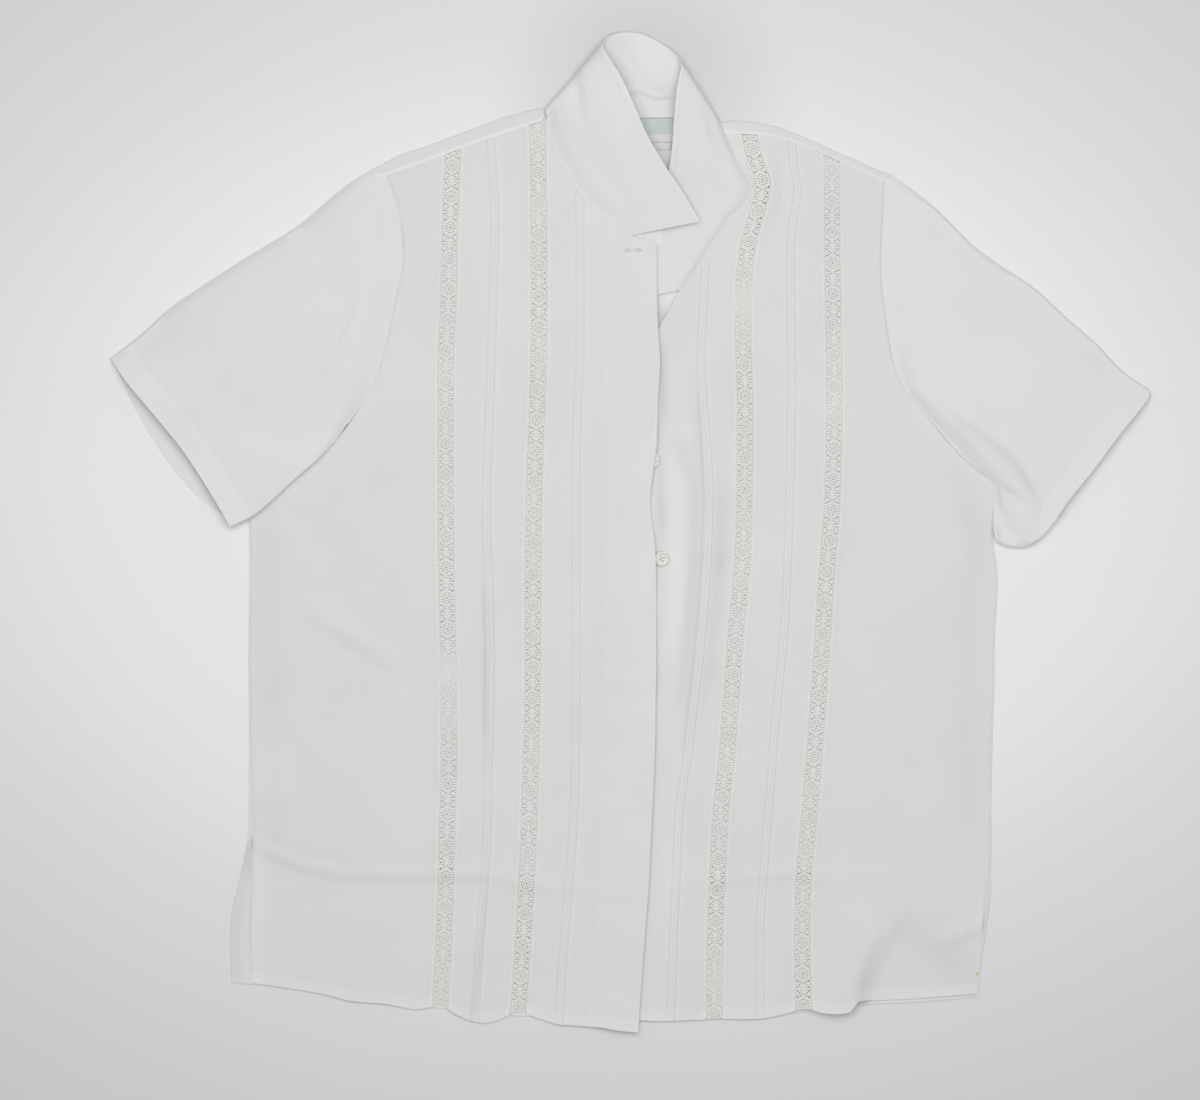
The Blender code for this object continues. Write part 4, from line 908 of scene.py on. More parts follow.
right_shared = dict(hem=hem_right, top=shoulder_right, height=right_front_height)
front_right_inner = front_panel(
    "front_right_inner", upright_line(EDGE_RIGHT), beside(LACE_3, -HALF_LACE - SEAM_ROOM),
    tucks=TUCKS_3, bands=(False, True),
    layers_and_painted_light_at=placket_layers_and_painted_light_right, **right_shared)
front_right_middle = front_panel(
    "front_right_middle", beside(LACE_3, HALF_LACE + SEAM_ROOM),
    beside(LACE_4, -HALF_LACE - SEAM_ROOM), tucks=TUCKS_4,
    layers_and_painted_light_at=lambda x, y: fold_height(x, y, SHADE_RIGHT), **right_shared)
front_right_side = front_panel(
    "front_right_side", beside(LACE_4, HALF_LACE + SEAM_ROOM), upright_line(SIDE_RIGHT),
    bands=(True, False), drops=(False, True),
    layers_and_painted_light_at=lambda x, y: (0.3 * eased((x - 276.0) / 4) * eased((-285.0 - y) / 6)
                         + fold_height(x, y, SHADE_RIGHT)),
    **right_shared)

# %% [markdown]
# ## Lace
# The strips are a cotton lace with one motif that repeats every 25 mm: a round medallion
# with an eye, and between two medallions a crossing of leaf shapes. Its holes are real,
# because the darker cloth behind them is what makes lace look like lace. One motif is cut
# out of a flat outline by a triangulation that respects the holes. It is then repeated as
# an array up the strip and laid on the height of the front, so it bends over each fold.

# %% Holes of the motif
REPEAT = 24.7
EYE_ROOM = 0.33
HOLE_SHARE = 0.79


def hole(u, v, across_radius, along_radius=None, turn=0.0, sides=8):
    """Outline of one hole: middle, two radii and a turn in degrees."""
    along_radius = across_radius if along_radius is None else along_radius
    across_radius, along_radius = HOLE_SHARE * across_radius, HOLE_SHARE * along_radius
    turn = math.radians(turn)
    outline = []
    for corner in range(sides):
        angle = 2 * math.pi * corner / sides
        a, b = across_radius * math.cos(angle), along_radius * math.sin(angle)
        outline.append((u + a * math.cos(turn) - b * math.sin(turn),
                        v + a * math.sin(turn) + b * math.cos(turn)))
    return outline


def motif_holes():
    """All holes of one repeat, with the medallion in the middle of it."""
    middle = REPEAT / 2
    holes = [hole(0, middle, 0.8)]
    for order in range(8):
        angle = math.pi * (order + 0.5) / 4
        holes.append(hole(2.25 * math.cos(angle), middle + 2.35 * math.sin(angle), 0.42,
                          sides=6))
    for order in range(12):
        angle = math.pi * (order + 0.5) / 6
        holes.append(hole(3.8 * math.cos(angle), middle + 4.2 * math.sin(angle), 0.42, 0.7,
                          math.degrees(angle), 6))
    for side in (-1, 1):
        for end in (-1, 1):
            edge = middle + end * REPEAT / 2
            holes.append(hole(side * 4.15, middle + end * 5.9, 0.75, 1.15, side * end * 38))
            holes.append(hole(side * 2.35, middle + end * 6.75, 0.5, 0.8, side * end * 58, 6))
            holes.append(hole(side * 4.25, edge - end * 1.45, 0.62, 0.95, side * end * -32))
            holes.append(hole(side * 2.9, edge - end * 3.15, 0.42, 0.95, side * end * -35, 6))
            holes.append(hole(side * 1.15, edge - end * 4.25, 0.38, 0.8, side * end * -20, 6))
            holes.append(hole(side * 2.3, edge - end * 0.95, 0.4, 0.55, side * end * -40, 6))
        for order in range(12):
            holes.append(hole(side * 5.6, (order + 0.5) * REPEAT / 12, 0.4, 0.5, 0, 6))
    return holes


# %% Triangulate one motif
def lace_motif():
    """Points, triangles and relief of one repeat of the lace."""
    loops = motif_holes()
    sides = [(side * HALF_LACE, REPEAT * order / 16) for side in (-1, 1)
             for order in range(17)]
    ends = [(u, v) for v in (0.0, REPEAT) for u in np.linspace(-5.2, 5.2, 9)]
    places = [Vector(place) for loop in loops for place in loop]
    edges, start = [], 0
    for loop in loops:
        edges += [(start + i, start + (i + 1) % len(loop)) for i in range(len(loop))]
        start += len(loop)
    middles = np.array([np.mean(loop, axis=0) for loop in loops])
    reach = np.array([max(math.dist(place, middle) for place in loop)
                      for loop, middle in zip(loops, middles)])
    filling = []
    for row, v in enumerate(np.arange(0.8, REPEAT - 0.5, 1.25)):
        for u in np.arange(-4.9 + 0.6 * (row % 2), 5.2, 1.25):
            if (np.hypot(*(middles - (u, v)).T) > reach + EYE_ROOM).all():
                filling.append((u, v))
    places += [Vector(place) for place in sides + ends + filling]
    points, _, faces = delaunay_2d_cdt(places, edges, [], 0, 1e-5)[:3]
    points = np.array([tuple(point) for point in points])
    kept = []
    for face in faces:
        centre = points[list(face)].mean(axis=0)
        inside = [np.hypot(*(centre - middle)) < radius and point_inside(centre, loop)
                  for middle, radius, loop in zip(middles, reach, loops)]
        if not any(inside):
            kept.append(tuple(face))
    return points, kept


def point_inside(place, loop):
    """True when a place is within a closed outline with outward bends only."""
    turns = [(b[0] - a[0]) * (place[1] - a[1]) - (b[1] - a[1]) * (place[0] - a[0])
             for a, b in zip(loop, loop[1:] + loop[:1])]
    return min(turns) > 0 or max(turns) < 0


def motif_relief(u, v):
    """Height of the cords: rings of the medallion, leaves and the two firm edges."""
    from_middle = v - REPEAT / 2
    ring = np.hypot(u / 4.8, from_middle / 5.3)
    inner = np.hypot(u / 1.25, from_middle / 1.3)
    end = REPEAT / 2 - np.abs(from_middle)
    leaf = np.abs(np.abs(u) - 0.95 * end)
    relief = 0.14 * np.exp(-((ring - 1.0) / 0.1) ** 2)
    relief += 0.20 * np.exp(-((inner - 1.0) / 0.3) ** 2)
    relief += 0.18 * np.exp(-(leaf / 0.7) ** 2) * (end < 6.0)
    relief += 0.12 * np.exp(-((np.abs(u) - 5.1) / 0.35) ** 2)
    return relief


motif_points, motif_faces = lace_motif()
print("one motif:", len(motif_points), "points,", len(motif_faces), "triangles")

# %% Lay the motif up a strip
def lace_strip(name, table, hem, top, height):
    """A strip of lace from the hem to the shoulder, with walls down each hole."""
    line = upright_line(table)
    low = meeting(line, hem, -385.0) - 8.0
    high = meeting(line, top, 300.0) + 8.0
    repeats = int(math.ceil((high - low) / REPEAT))
    count = len(motif_points)
    u = np.tile(motif_points[:, 0], repeats) * (1 + 0.9 * SEAM_ROOM / HALF_LACE)
    v = np.concatenate([motif_points[:, 1] + order * REPEAT for order in range(repeats)])
    relief = np.tile(motif_relief(*motif_points.T), repeats)
    ply_and_painted_light = np.clip(relief / 0.18, 0.0, 1.0) * 0.5 + 0.35
    y = low + v
    x = line(y) + u
    bottom, end = hem(x) + 0.4, top(x) - 0.3
    faces = np.array(motif_faces)
    faces = np.vstack([faces + order * count for order in range(repeats)])
    middle = y[faces].mean(axis=1)
    kept = (middle > bottom[faces].mean(axis=1)) & (middle < end[faces].mean(axis=1))
    faces = faces[kept]
    y = np.clip(y, bottom, end)
    x = line(y) + u
    hem_fold = np.where(y - bottom < HEM_DEPTH, 0.25, 0.0)
    surface = height(x, y)
    upper = np.stack([x, y, surface + 0.12 + relief + hem_fold], axis=-1)
    lower = np.stack([x, y, surface - 0.38], axis=-1)
    edges = np.vstack([faces[:, [0, 1]], faces[:, [1, 2]], faces[:, [2, 0]]])
    keys = edges.min(axis=1).astype(np.int64) * len(x) + edges.max(axis=1)
    _, first, times = np.unique(keys, return_index=True, return_counts=True)
    rim = edges[first[times == 1]]
    local = rim % count
    at_joint = (np.abs((motif_points[local][..., 1] % REPEAT)) < 1e-6).all(axis=1)
    rim = rim[~at_joint]
    walls = np.stack([rim[:, 1], rim[:, 0], rim[:, 0] + len(x), rim[:, 1] + len(x)], axis=-1)
    all_faces = [tuple(face) for face in faces.tolist()] + [tuple(face)
                                                            for face in walls.tolist()]
    return make_piece(name + "_threads", np.vstack([upper, lower]), all_faces, lace_thread,
                      np.concatenate([ply_and_painted_light, ply_and_painted_light]), (name,), 40.0)


lace_left_outer, lace_left_inner = [
    lace_strip("lace_left_" + side, table, hem_left, shoulder_left, left_front_height)
    for side, table in (("outer", LACE_1), ("inner", LACE_2))]
lace_right_inner, lace_right_outer = [
    lace_strip("lace_right_" + side, table, hem_right, shoulder_right, right_front_height)
    for side, table in (("inner", LACE_3), ("outer", LACE_4))]

# %% [markdown]
# ## Back
# The back lies flat on the table and shows only at the two side slits, at the neck and
# along the shoulders. There it comes forward: the shoulder seam of such a blouse sits a
# little in front of the fold. The grid therefore goes on past the top, round a small half
# circle, and ends at the seam.

# %% Build the back
# Painted shade: the tip of the triangle under the right end of the collar, and the gap in the
# left slit near its top.
PAINTED_SHADE_PLACES = (((23.0, 165.0), 13.0, -1.5), ((-303.0, -260.0), 14.0, -1.0))


def back_panel():
    left, right = upright_line(BACK_LEFT), upright_line(BACK_RIGHT)
    top = lambda x: np.interp(x, [row[0] for row in TOP_BACK], [row[1] for row in TOP_BACK])
    hem = level_line(HEM_BACK)
    lines = between(left, right, 116)
    lines = [left] + lines + [right]
    columns = []
    for line in lines:
        low, high = meeting(line, hem, -385.0), meeting(line, top, 300.0)
        y = np.concatenate([low + np.array([0.0, 0.6, HEM_DEPTH - 0.4, HEM_DEPTH]),
                            low + HEM_DEPTH + (high - low - HEM_DEPTH)
                            * np.linspace(0.0, 1.0, 131)[1:]])
        columns.append(np.stack([line(y), y], axis=-1))
    plan = np.stack(columns, axis=1)
    x, y = plan[..., 0], plan[..., 1]
    level = np.full(x.shape, BACK_LEVEL)
    ply_and_painted_light = np.zeros_like(x)
    ply_and_painted_light[:4] = 0.2
    from_side = np.minimum(x - left(y), right(y) - x)
    slit_hem = eased((9.0 - from_side) / 3.0) * eased((-246.0 - y) / 6.0)
    level += 0.2 * np.maximum(ply_and_painted_light > 0, slit_hem)
    ply_and_painted_light -= 0.35 * slit_hem
    # Painted light on the back where it shows far down in the neck opening, in the triangle
    # under the right end of the collar and below the label, which the collar would leave in
    # shade.
    for seen in ((24.0, 210.0), (34.0, 296.0)):
        ply_and_painted_light += 1.0 * eased((45.0 - np.hypot(x - seen[0], y - seen[1])) / 25.0)
    ply_and_painted_light = np.clip(ply_and_painted_light, -1.0, 1.0)
    for shaded_place, reach, tone in PAINTED_SHADE_PLACES:
        ply_and_painted_light += tone * eased((reach - np.hypot(x - shaded_place[0], 0.6 * (y - shaded_place[1]))) / reach)
    ply_and_painted_light = np.clip(ply_and_painted_light, -1.0, 1.0)
    rows = [np.dstack([x, y, level])]
    radius = (FRONT_LEVEL - BACK_LEVEL) / 2
    edge_x, edge_y = x[-1], y[-1]
    wrapped = (edge_x < -66.5) | (edge_x > 73.5)
    seam = np.where(edge_x < 0, shoulder_left(edge_x), shoulder_right(edge_x)) - 0.2
    for turn in (-60.0, -25.0, 0.0, 25.0, 60.0, 90.0):
        turn = math.radians(turn)
        forward = radius * (1 - math.cos(turn))
        ring_y = np.where(wrapped, edge_y - forward, edge_y)
        ring_z = np.where(wrapped, BACK_LEVEL + radius + radius * math.sin(turn),
                          BACK_LEVEL + 0.001 * (turn + 2.0))
        rows.append(np.dstack([edge_x, ring_y, ring_z]))
    for share in (0.3, 0.65, 0.9, 1.0):
        start = edge_y - radius
        goal = np.minimum(start, seam)
        ring_y = np.where(wrapped, start + (goal - start) * share, edge_y)
        lift = 0.45 * share
        ring_z = np.where(wrapped, FRONT_LEVEL + lift, BACK_LEVEL + 0.01 + 0.001 * share)
        rows.append(np.dstack([edge_x, ring_y, ring_z]))
    grid = np.vstack(rows)
    ply_and_painted_light = np.vstack([ply_and_painted_light, np.zeros((8, x.shape[1])), np.ones((2, x.shape[1]))])
    normals = grid_normals(grid)
    normals[:x.shape[0] - 1] = (0.0, 0.0, 1.0)
    flat = ~wrapped
    normals[-11:, flat] = (0.0, 0.0, 1.0)
    half = CLOTH / 2
    return shell("back", grid + normals * half, grid - normals * half, crepe, ply_and_painted_light=ply_and_painted_light)


back = back_panel()

# %% [markdown]
# ## Sleeves
# A short sleeve lying flat is a tube pressed shut. Its ring goes along the upper layer,
# round the fold below, back underneath and round the fold on top. At the underarm the
# cloth is tucked in between the layers. The upper layer swells a little, since crepe
# springs back from a fold instead of lying dead flat.

# %% Sizes of the sleeves
SLEEVE_LEFT = {
    "top": [(-205.6, 290.2), (-227.2, 276.2), (-253.6, 253.8), (-268.8, 241.8),
            (-303.2, 221.0), (-332.0, 202.6), (-366.4, 179.4), (-391.2, 157.0),
            (-415.0, 139.0)],
    "below": [(-244.0, 63.4), (-268.8, 41.0), (-292.8, 18.6),
              (-303.2, 11.4), (-318.8, 3.8)],
    "underarm": [(-311.0, 25.0), (-318.0, 19.0), (-323.5, 11.5)],
    "front cuff": [(-415.0, 139.0), (-408.0, 128.2), (-399.6, 117.0), (-378.8, 92.2),
                   (-359.2, 68.2), (-345.6, 48.2), (-332.0, 26.6), (-318.8, 3.8)],
    "back cuff": [(-415.0, 139.0), (-408.0, 124.0), (-394.6, 97.0), (-382.2, 75.4),
                  (-365.0, 50.6), (-345.8, 29.0), (-323.5, 11.5)],
    "bulge": 8.0,
}
SLEEVE_RIGHT = {
    "top": [(210.4, 284.4), (221.6, 276.2), (246.2, 256.5), (270.4, 232.2), (292.8, 214.8),
            (322.1, 195.4), (346.4, 173.2), (371.2, 151.4), (392.8, 129.0), (415.0, 113.2)],
    "below": [(300.0, -10.6), (309.6, -11.8), (319.7, -10.2), (329.6, -3.0),
              (339.2, 9.0)],
    "underarm": [(303.0, -7.0), (312.0, -7.5), (320.0, -5.5), (328.0, 1.5), (335.0, 13.0)],
    "front cuff": [(415.0, 113.2), (412.8, 105.0), (392.8, 80.2), (368.8, 48.2),
                   (351.2, 26.6), (339.2, 9.0)],
    "back cuff": [(415.0, 113.2), (409.0, 104.0), (389.0, 79.0), (365.0, 48.6),
                  (348.0, 28.0), (335.0, 13.0)],
    "bulge": 7.0,
}
SLEEVE_FOLDS_LEFT = {
    "soft fold to the cuff": [(-250, 190, 0, 22, 22), (-300, 130, 2.5, 24, 24),
                              (-345, 80, 1.5, 20, 20)],
}
SLEEVE_FOLDS_RIGHT = {
    "fold along the sleeve": [(234, 160, 0, 12, 12), (224, 141, 3.0, 12, 14),
                              (233, 112, 3.6, 10, 16), (251, 92, 3.6, 8, 18),
                              (283, 73, 3.6, 8, 20), (302, 58, 3.6, 8, 20),
                              (312, 41, 3.0, 8, 18), (322, 24, 2.5, 8, 16)],
    "crease from the shoulder": [(241, 210, 0, 10, 10), (226, 195, 1.6, 10, 10),
                                 (214, 173, 0.4, 10, 10)],
    "gathers under the arm": [(296, 30, 1.0, 9, 9), (306, 14, 4.5, 10, 10),
                              (318, 0, 4.0, 10, 10)],
}
FOLD_RADIUS = 1.2
TUCKED_LEVEL = FRONT_LEVEL + 1.3
TOP_SLOPE = 28.0
SEAM_SLOPE = 40.0
BELOW_SLOPE = 24.0
UNDERARM_LEFT = (-304.8, 28.8)
SEAM_END_RIGHT = [(292.6, -7.0), (293.0, -3.0)]

# Tones for the colour of the sleeves, in the same rows: painted shade in the valley of the
# right sleeve and in the pockets under its arm, a lighter patch on the left sleeve, and the
# back's armhole seam showing through it.
SHADE_SLEEVES = {
    "painted shade in the valley of the right sleeve": [
        (238, 106, 0, 6, 8), (262, 90, -0.5, 5, 9), (300, 62, -0.8, 6, 11),
        (319, 37, -0.6, 7, 10), (322, 20, 0, 6, 6)],
    "painted shade in the pocket under the right arm": [
        (293, 40, 0, 2, 5), (295, 32, -1.3, 3, 7), (297, 22, -0.9, 3, 8), (301, 12, 0, 3, 6)],
    "painted shade at the end of the right seam": [
        (293, 2, -0.4, 2, 4), (297, -5, -1.3, 2, 6), (304, -9, 0, 3, 4)],
    "lighter patch of the left sleeve": [
        (-306, 74, 0.3, 16, 12), (-270, 64, 0.4, 18, 18), (-240, 74, 0.2, 12, 12)],
    "back seam seen through the left sleeve": [
        (-217.6, 195, 0, 2, 2), (-222, 174, -0.4, 1.6, 2.4), (-229.6, 156, -0.4, 1.6, 2.4),
        (-246.4, 121.8, -0.3, 2, 2), (-258, 104, 0, 2, 2)],
}

# %% Surface between four edges
def length_shares(points):
    length = travelled(points)
    return length / length[-1]


def patch(low, high, start, end):
    """Points between two long edges and two end lines, given as matching points."""
    s = length_shares(start)[None, :, None]
    t = length_shares(low)[:, None, None]
    corners = ((1 - s) * (1 - t) * start[0] + s * (1 - t) * start[-1]
               + (1 - s) * t * end[0] + s * t * end[-1])
    return ((1 - s) * low[:, None, :] + s * high[:, None, :] + (1 - t) * start[None]
            + t * end[None] - corners)


def body_seam(table, high, low, side, ending):
    """The armhole as points beside the edge of the body, from the shoulder down."""
    line = upright_line(table)
    y = np.linspace(high, low, 34)
    points = np.stack([line(y) - side * 0.2, y], axis=-1)
    points = np.vstack([points] + [np.array([place]) for place in ending])
    return drawn(points, np.linspace(0.0, 1.0, 36))


def rows_to_hem(rings, hem):
    """Rows moved along the tube so that one of them lies on the line of the hem."""
    rows = rings.shape[0]
    moved = np.empty((rows, *rings.shape[1:]))
    for column in range(rings.shape[1]):
        path = rings[:, column]
        length = travelled(path)
        wanted = length[-1] - min(hem, 0.45 * length[-1])
        places = np.concatenate([np.linspace(0.0, wanted - 0.5, rows - 12),
                                 [wanted, wanted + 0.5],
                                 np.linspace(wanted + 1.2, length[-1], 10)])
        for axis in range(3):
            moved[:, column, axis] = np.interp(places, length, path[:, axis])
    return moved


# %% Build a sleeve
def sleeve(name, lines, folds, front_seam, back_seam):
    """A flattened tube: upper layer, the part tucked below it, and the lower layer."""
    count = 64
    t = np.linspace(0.0, 1.0, count)
    rail_top = drawn(lines["top"], t)
    rail_below = drawn([tuple(front_seam[-1])] + lines["below"], t)
    rail_under = drawn([tuple(back_seam[-1])] + lines["underarm"], t)
    layers = []
    for seam, rail, cuff in ((front_seam, rail_below, "front cuff"),
                             (back_seam, rail_under, "back cuff")):
        layer = patch(rail_top, rail, seam, drawn(lines[cuff], length_shares(seam)))
        for first, second in ((0, 1), (-1, -2)):
            inward = layer[:, second] - layer[:, first]
            inward = inward / np.linalg.norm(inward, axis=-1, keepdims=True)
            layer[:, first] = layer[:, first] + FOLD_RADIUS * inward
        layers.append(layer)
    front, back_layer = layers
    x, y = front[..., 0], front[..., 1]
    from_top = np.linalg.norm(front - rail_top[:, None, :], axis=-1)
    from_below = np.linalg.norm(front - rail_below[:, None, :], axis=-1)
    from_seam = np.linalg.norm(front - front_seam[None, :, :], axis=-1)
    leaving = eased(from_seam / SEAM_SLOPE)
    high = lines["bulge"] * eased(from_top / TOP_SLOPE) * leaving
    roll = 2 * FOLD_RADIUS * leaving * (1 - eased(from_top / TOP_SLOPE))
    near_below = 1 - eased(from_below / BELOW_SLOPE)
    over_tucked = TUCKED_LEVEL + 2 * FOLD_RADIUS - FRONT_LEVEL
    creases = (fold_height(x, y, folds) * eased(from_seam / 12.0) * (1 - near_below)
               + rumple(x, y) * eased(from_seam / 12.0) * eased(from_top / 8.0))
    front_z = FRONT_LEVEL + np.maximum(high + roll, over_tucked * near_below) + creases
    front_z += 0.25 * (1 - leaving)
    shares = np.linspace(0.08, 0.92, 6)[None, :, None]
    tucked = rail_below[:, None, :] * (1 - shares) + rail_under[:, None, :] * shares
    parts = [np.dstack([rail_top[:, None, :], ((BACK_LEVEL + front_z[:, 0]) / 2)[:, None]]),
             np.dstack([front, front_z]),
             np.dstack([rail_below[:, None, :],
                        ((front_z[:, -1] + TUCKED_LEVEL) / 2)[:, None]]),
             np.dstack([tucked, np.full(tucked.shape[:2], TUCKED_LEVEL)]),
             np.dstack([rail_under[:, None, :],
                        np.full((count, 1), (TUCKED_LEVEL + BACK_LEVEL) / 2)]),
             np.dstack([back_layer[:, ::-1],
                        np.full(back_layer.shape[:2], BACK_LEVEL)])]
    rings = rows_to_hem(np.concatenate(parts, axis=1), SLEEVE_HEM)
    if rings[0, 0, 0] < 0:
        rings = rings[:, ::-1]
    normals = grid_normals(rings, closed=True)
    ply_and_painted_light = np.zeros(rings.shape[:2])
    ply_and_painted_light[:] = 0.28 if name == "sleeve_left" else 0.4
    ply_and_painted_light[-11:] = 0.55
    half = np.where(ply_and_painted_light > 0.5, 0.42, 0.3)[..., None]
    ply_and_painted_light = ply_and_painted_light + fold_height(rings[..., 0], rings[..., 1], SHADE_SLEEVES)
    ply_and_painted_light[-12] -= 0.5
    ply_and_painted_light = np.clip(ply_and_painted_light, -1.0, 1.0)
    made = shell(name, rings + normals * half, rings - normals * half, crepe, ply_and_painted_light=ply_and_painted_light,
                 closed=True)
    return made, rings


corner_left = np.array(SLEEVE_LEFT["top"][0])
corner_right = np.array(SLEEVE_RIGHT["top"][0])
seam_left = np.vstack([corner_left, body_seam(SIDE_LEFT, 287.0, 82.0, -1, [])])
under_left = np.vstack([corner_left, body_seam(BACK_LEFT, 288.0, 31.0, -1, [UNDERARM_LEFT])])
seam_right = np.vstack([corner_right,
                        body_seam(SIDE_RIGHT, 281.0, 2.0, 1, [SEAM_END_RIGHT[0]])])
under_right = np.vstack([corner_right,
                         body_seam(BACK_RIGHT, 282.0, 3.0, 1, [SEAM_END_RIGHT[1]])])
sleeve_left, rings_left = sleeve("sleeve_left", SLEEVE_LEFT, SLEEVE_FOLDS_LEFT, seam_left,
                                 under_left)
sleeve_right, rings_right = sleeve("sleeve_right", SLEEVE_RIGHT, SLEEVE_FOLDS_RIGHT,
                                   seam_right, under_right)

# %% [markdown]
# ## Collar
# The collar stands up from the neck seam and falls outward, its left end over its right
# one. It is one band between two lines in space: the seam and the free edge. A smooth
# curve through a few stations carries both lines, and the band arches between them. Two
# layers of cloth and a turned edge make it thicker than the panels.

# %% Stations of the collar
COLLAR = [
    (2.2, 237.6, 4.6, 56.0, 248.0, 9.5),
    (-10.2, 248.0, 4.6, 42.4, 270.8, 12.0),
    (-20.6, 255.2, 4.4, 35.0, 281.5, 13.5),
    (-36.6, 269.6, 4.2, 28.3, 291.4, 15.0),
    (-46.8, 284.0, 4.0, 14.0, 315.7, 17.0),
    (-57.2, 302.0, 4.0, 4.0, 338.2, 18.5),
    (-62.6, 318.0, 4.2, -6.4, 361.0, 19.5),
    (-65.0, 331.0, 5.0, -14.5, 374.0, 19.5),
    (-65.8, 337.6, 5.2, -19.5, 383.0, 17.0),
    (-63.6, 341.8, 3.2, -21.6, 389.5, 11.0),
    (-52.0, 344.4, 1.3, -16.5, 396.2, 6.0),
    (-30.0, 351.8, 1.1, -8.0, 399.0, 3.6),
    (-5.6, 357.4, 1.1, -1.0, 399.4, 3.0),
    (11.0, 356.6, 1.1, 9.9, 398.0, 3.0),
    (30.0, 349.8, 1.1, 24.0, 391.0, 3.8),
    (50.0, 340.2, 1.3, 34.0, 383.6, 6.0),
    (67.0, 332.4, 3.2, 39.6, 377.0, 10.0),
    (71.4, 328.0, 5.0, 40.6, 370.0, 14.0),
    (76.0, 317.4, 5.0, 37.6, 356.0, 15.0),
    (82.6, 303.4, 5.2, 35.2, 332.2, 13.5),
    (89.0, 290.4, 5.6, 33.4, 305.8, 10.0),
    (93.6, 279.0, 5.6, 30.0, 284.0, 6.0),
    (93.8, 271.4, 5.0, 27.0, 272.0, 4.2),
    (88.8, 263.2, 4.4, 23.0, 258.0, 3.0),
    (77.6, 252.2, 3.8, 17.0, 240.0, 2.3),
    (62.4, 229.6, 3.2, 6.0, 218.0, 2.2),
    (50.0, 210.0, 2.9, -4.0, 197.0, 2.2),
    (38.8, 193.2, 2.7, -14.4, 182.6, 2.2),
]
COLLAR_ARCH = 2.2
COLLAR_OVERLAP = 1.8
COLLAR_FOLDS = {
    "hollow of the left leaf": [
        (-46, 378, -2.6, 5, 16), (-41, 352, -4.2, 4, 14), (-36, 322, 0, 4, 8)],
    "swell of the left leaf": [
        (-30, 350, 0.5, 16, 16), (-14, 312, 3.0, 20, 20), (10, 270, 1.6, 18, 18)],
    "pinch at the back seam": [
        (10, 350, 1.4, 5, 5), (15, 361, 2.4, 6, 8), (18, 374, 0, 6, 7)],
    "soft fold inside the neck": [
        (-6, 392, 0, 8, 8), (0, 376, -2.2, 8, 10), (2, 362, -1.0, 7, 8)],
    "fold of the right leaf": [
        (52, 352, 0, 8, 12), (58, 320, 2.4, 8, 14), (70, 292, 1.2, 8, 14)],
    "bend at the right turn": [
        (60, 296, 0, 9, 9), (72, 272, -2.2, 8, 14), (70, 252, 0, 9, 9)],
}

# %% Build the collar
def make_collar():
    stations = drawn(COLLAR, np.linspace(0.0, 1.0, 190))
    near_edge = np.array([0.0, 0.01, 0.03])
    shares = np.concatenate([near_edge, np.linspace(0.07, 0.9, 17), [0.93, 0.955, 0.98, 1.0]])
    seam, free = stations[:, None, :3].copy(), stations[:, None, 3:]
    outward = seam - free
    outward[..., 2] = 0.0
    seam += COLLAR_OVERLAP * outward / np.linalg.norm(outward, axis=-1, keepdims=True)
    grid = seam + (free - seam) * shares[None, :, None]
    arch = COLLAR_ARCH * np.sin(math.pi * shares)[None, :]
    grid[..., 2] += arch * np.minimum(1.0, stations[:, 5:6] / 12.0)
    x, y = grid[..., 0], grid[..., 1]
    front = np.where(x < 20, left_front_height(x, y), right_front_height(x, y))
    grid[..., 2] += fold_height(x, y, COLLAR_FOLDS) * eased((shares - 0.04) / 0.2)[None, :]
    resting = (1 - eased(shares / 0.16))[None, :] * (stations[:, 1:2] < 334)
    settled = np.minimum(grid[..., 2], front + 0.5)
    grid[..., 2] += (settled - grid[..., 2]) * resting
    grid[..., 2] = np.maximum(grid[..., 2], 0.65)
    normals = grid_normals(grid)
    width = np.linalg.norm(free - seam, axis=-1)
    from_free = (1.0 - shares)[None, :] * width
    from_end = np.minimum(np.arange(190), np.arange(190)[::-1])[:, None] * 3.0
    rim = np.minimum(from_free, from_end)
    half = 0.5 - 0.06 * (np.abs(rim - 4.5) < 1.5) - 0.2 * (rim < 0.5)
    ply_and_painted_light = np.where(rim < 1.6, 0.45, 0.25)
    from_seam = shares[None, :] * width
    # Painted shade along the neck seam where the right leaf of the collar rolls over the front.
    painted_roll_shade = eased((stations[:, :1] - 30.0) / 10) * eased((300.0 - stations[:, 1:2]) / 20)
    ply_and_painted_light -= 0.95 * painted_roll_shade * (1 - eased((from_seam - 1.5) / 6.0))
    ply_and_painted_light += 0.6 * eased((x + 8.0) / 16) * eased((y - 352.0) / 8) * (x < 38)
    half = half[..., None]
    return shell("collar", grid + normals * half, grid - normals * half, collar_cloth,
                 ply_and_painted_light=ply_and_painted_light), grid


collar, collar_grid = make_collar()

# %% [markdown]
# ## Neck facing and label
# Inside the neck lie a facing of the same cloth and a small woven label, with a short
# tape below it. The label is left bare: it gets its two weaves, its folded ends and its
# stitches, and no words.

# %% Facing, label and tape
FACING_TOP = [(-44, 345.6), (-30, 350.4), (-5.6, 356.2), (11, 355.4), (30, 348.6), (56, 334.6)]
FACING_BOTTOM = [(-44, 322), (-20, 329), (6, 331), (42, 331), (56, 324)]
LABEL = [(8.0, 330.6), (35.0, 330.6), (35.0, 312.0), (8.0, 312.0)]
LABEL_STRIP = [(17.6, 311.6), (33.6, 311.6), (31.6, 305.6), (18.6, 305.6)]


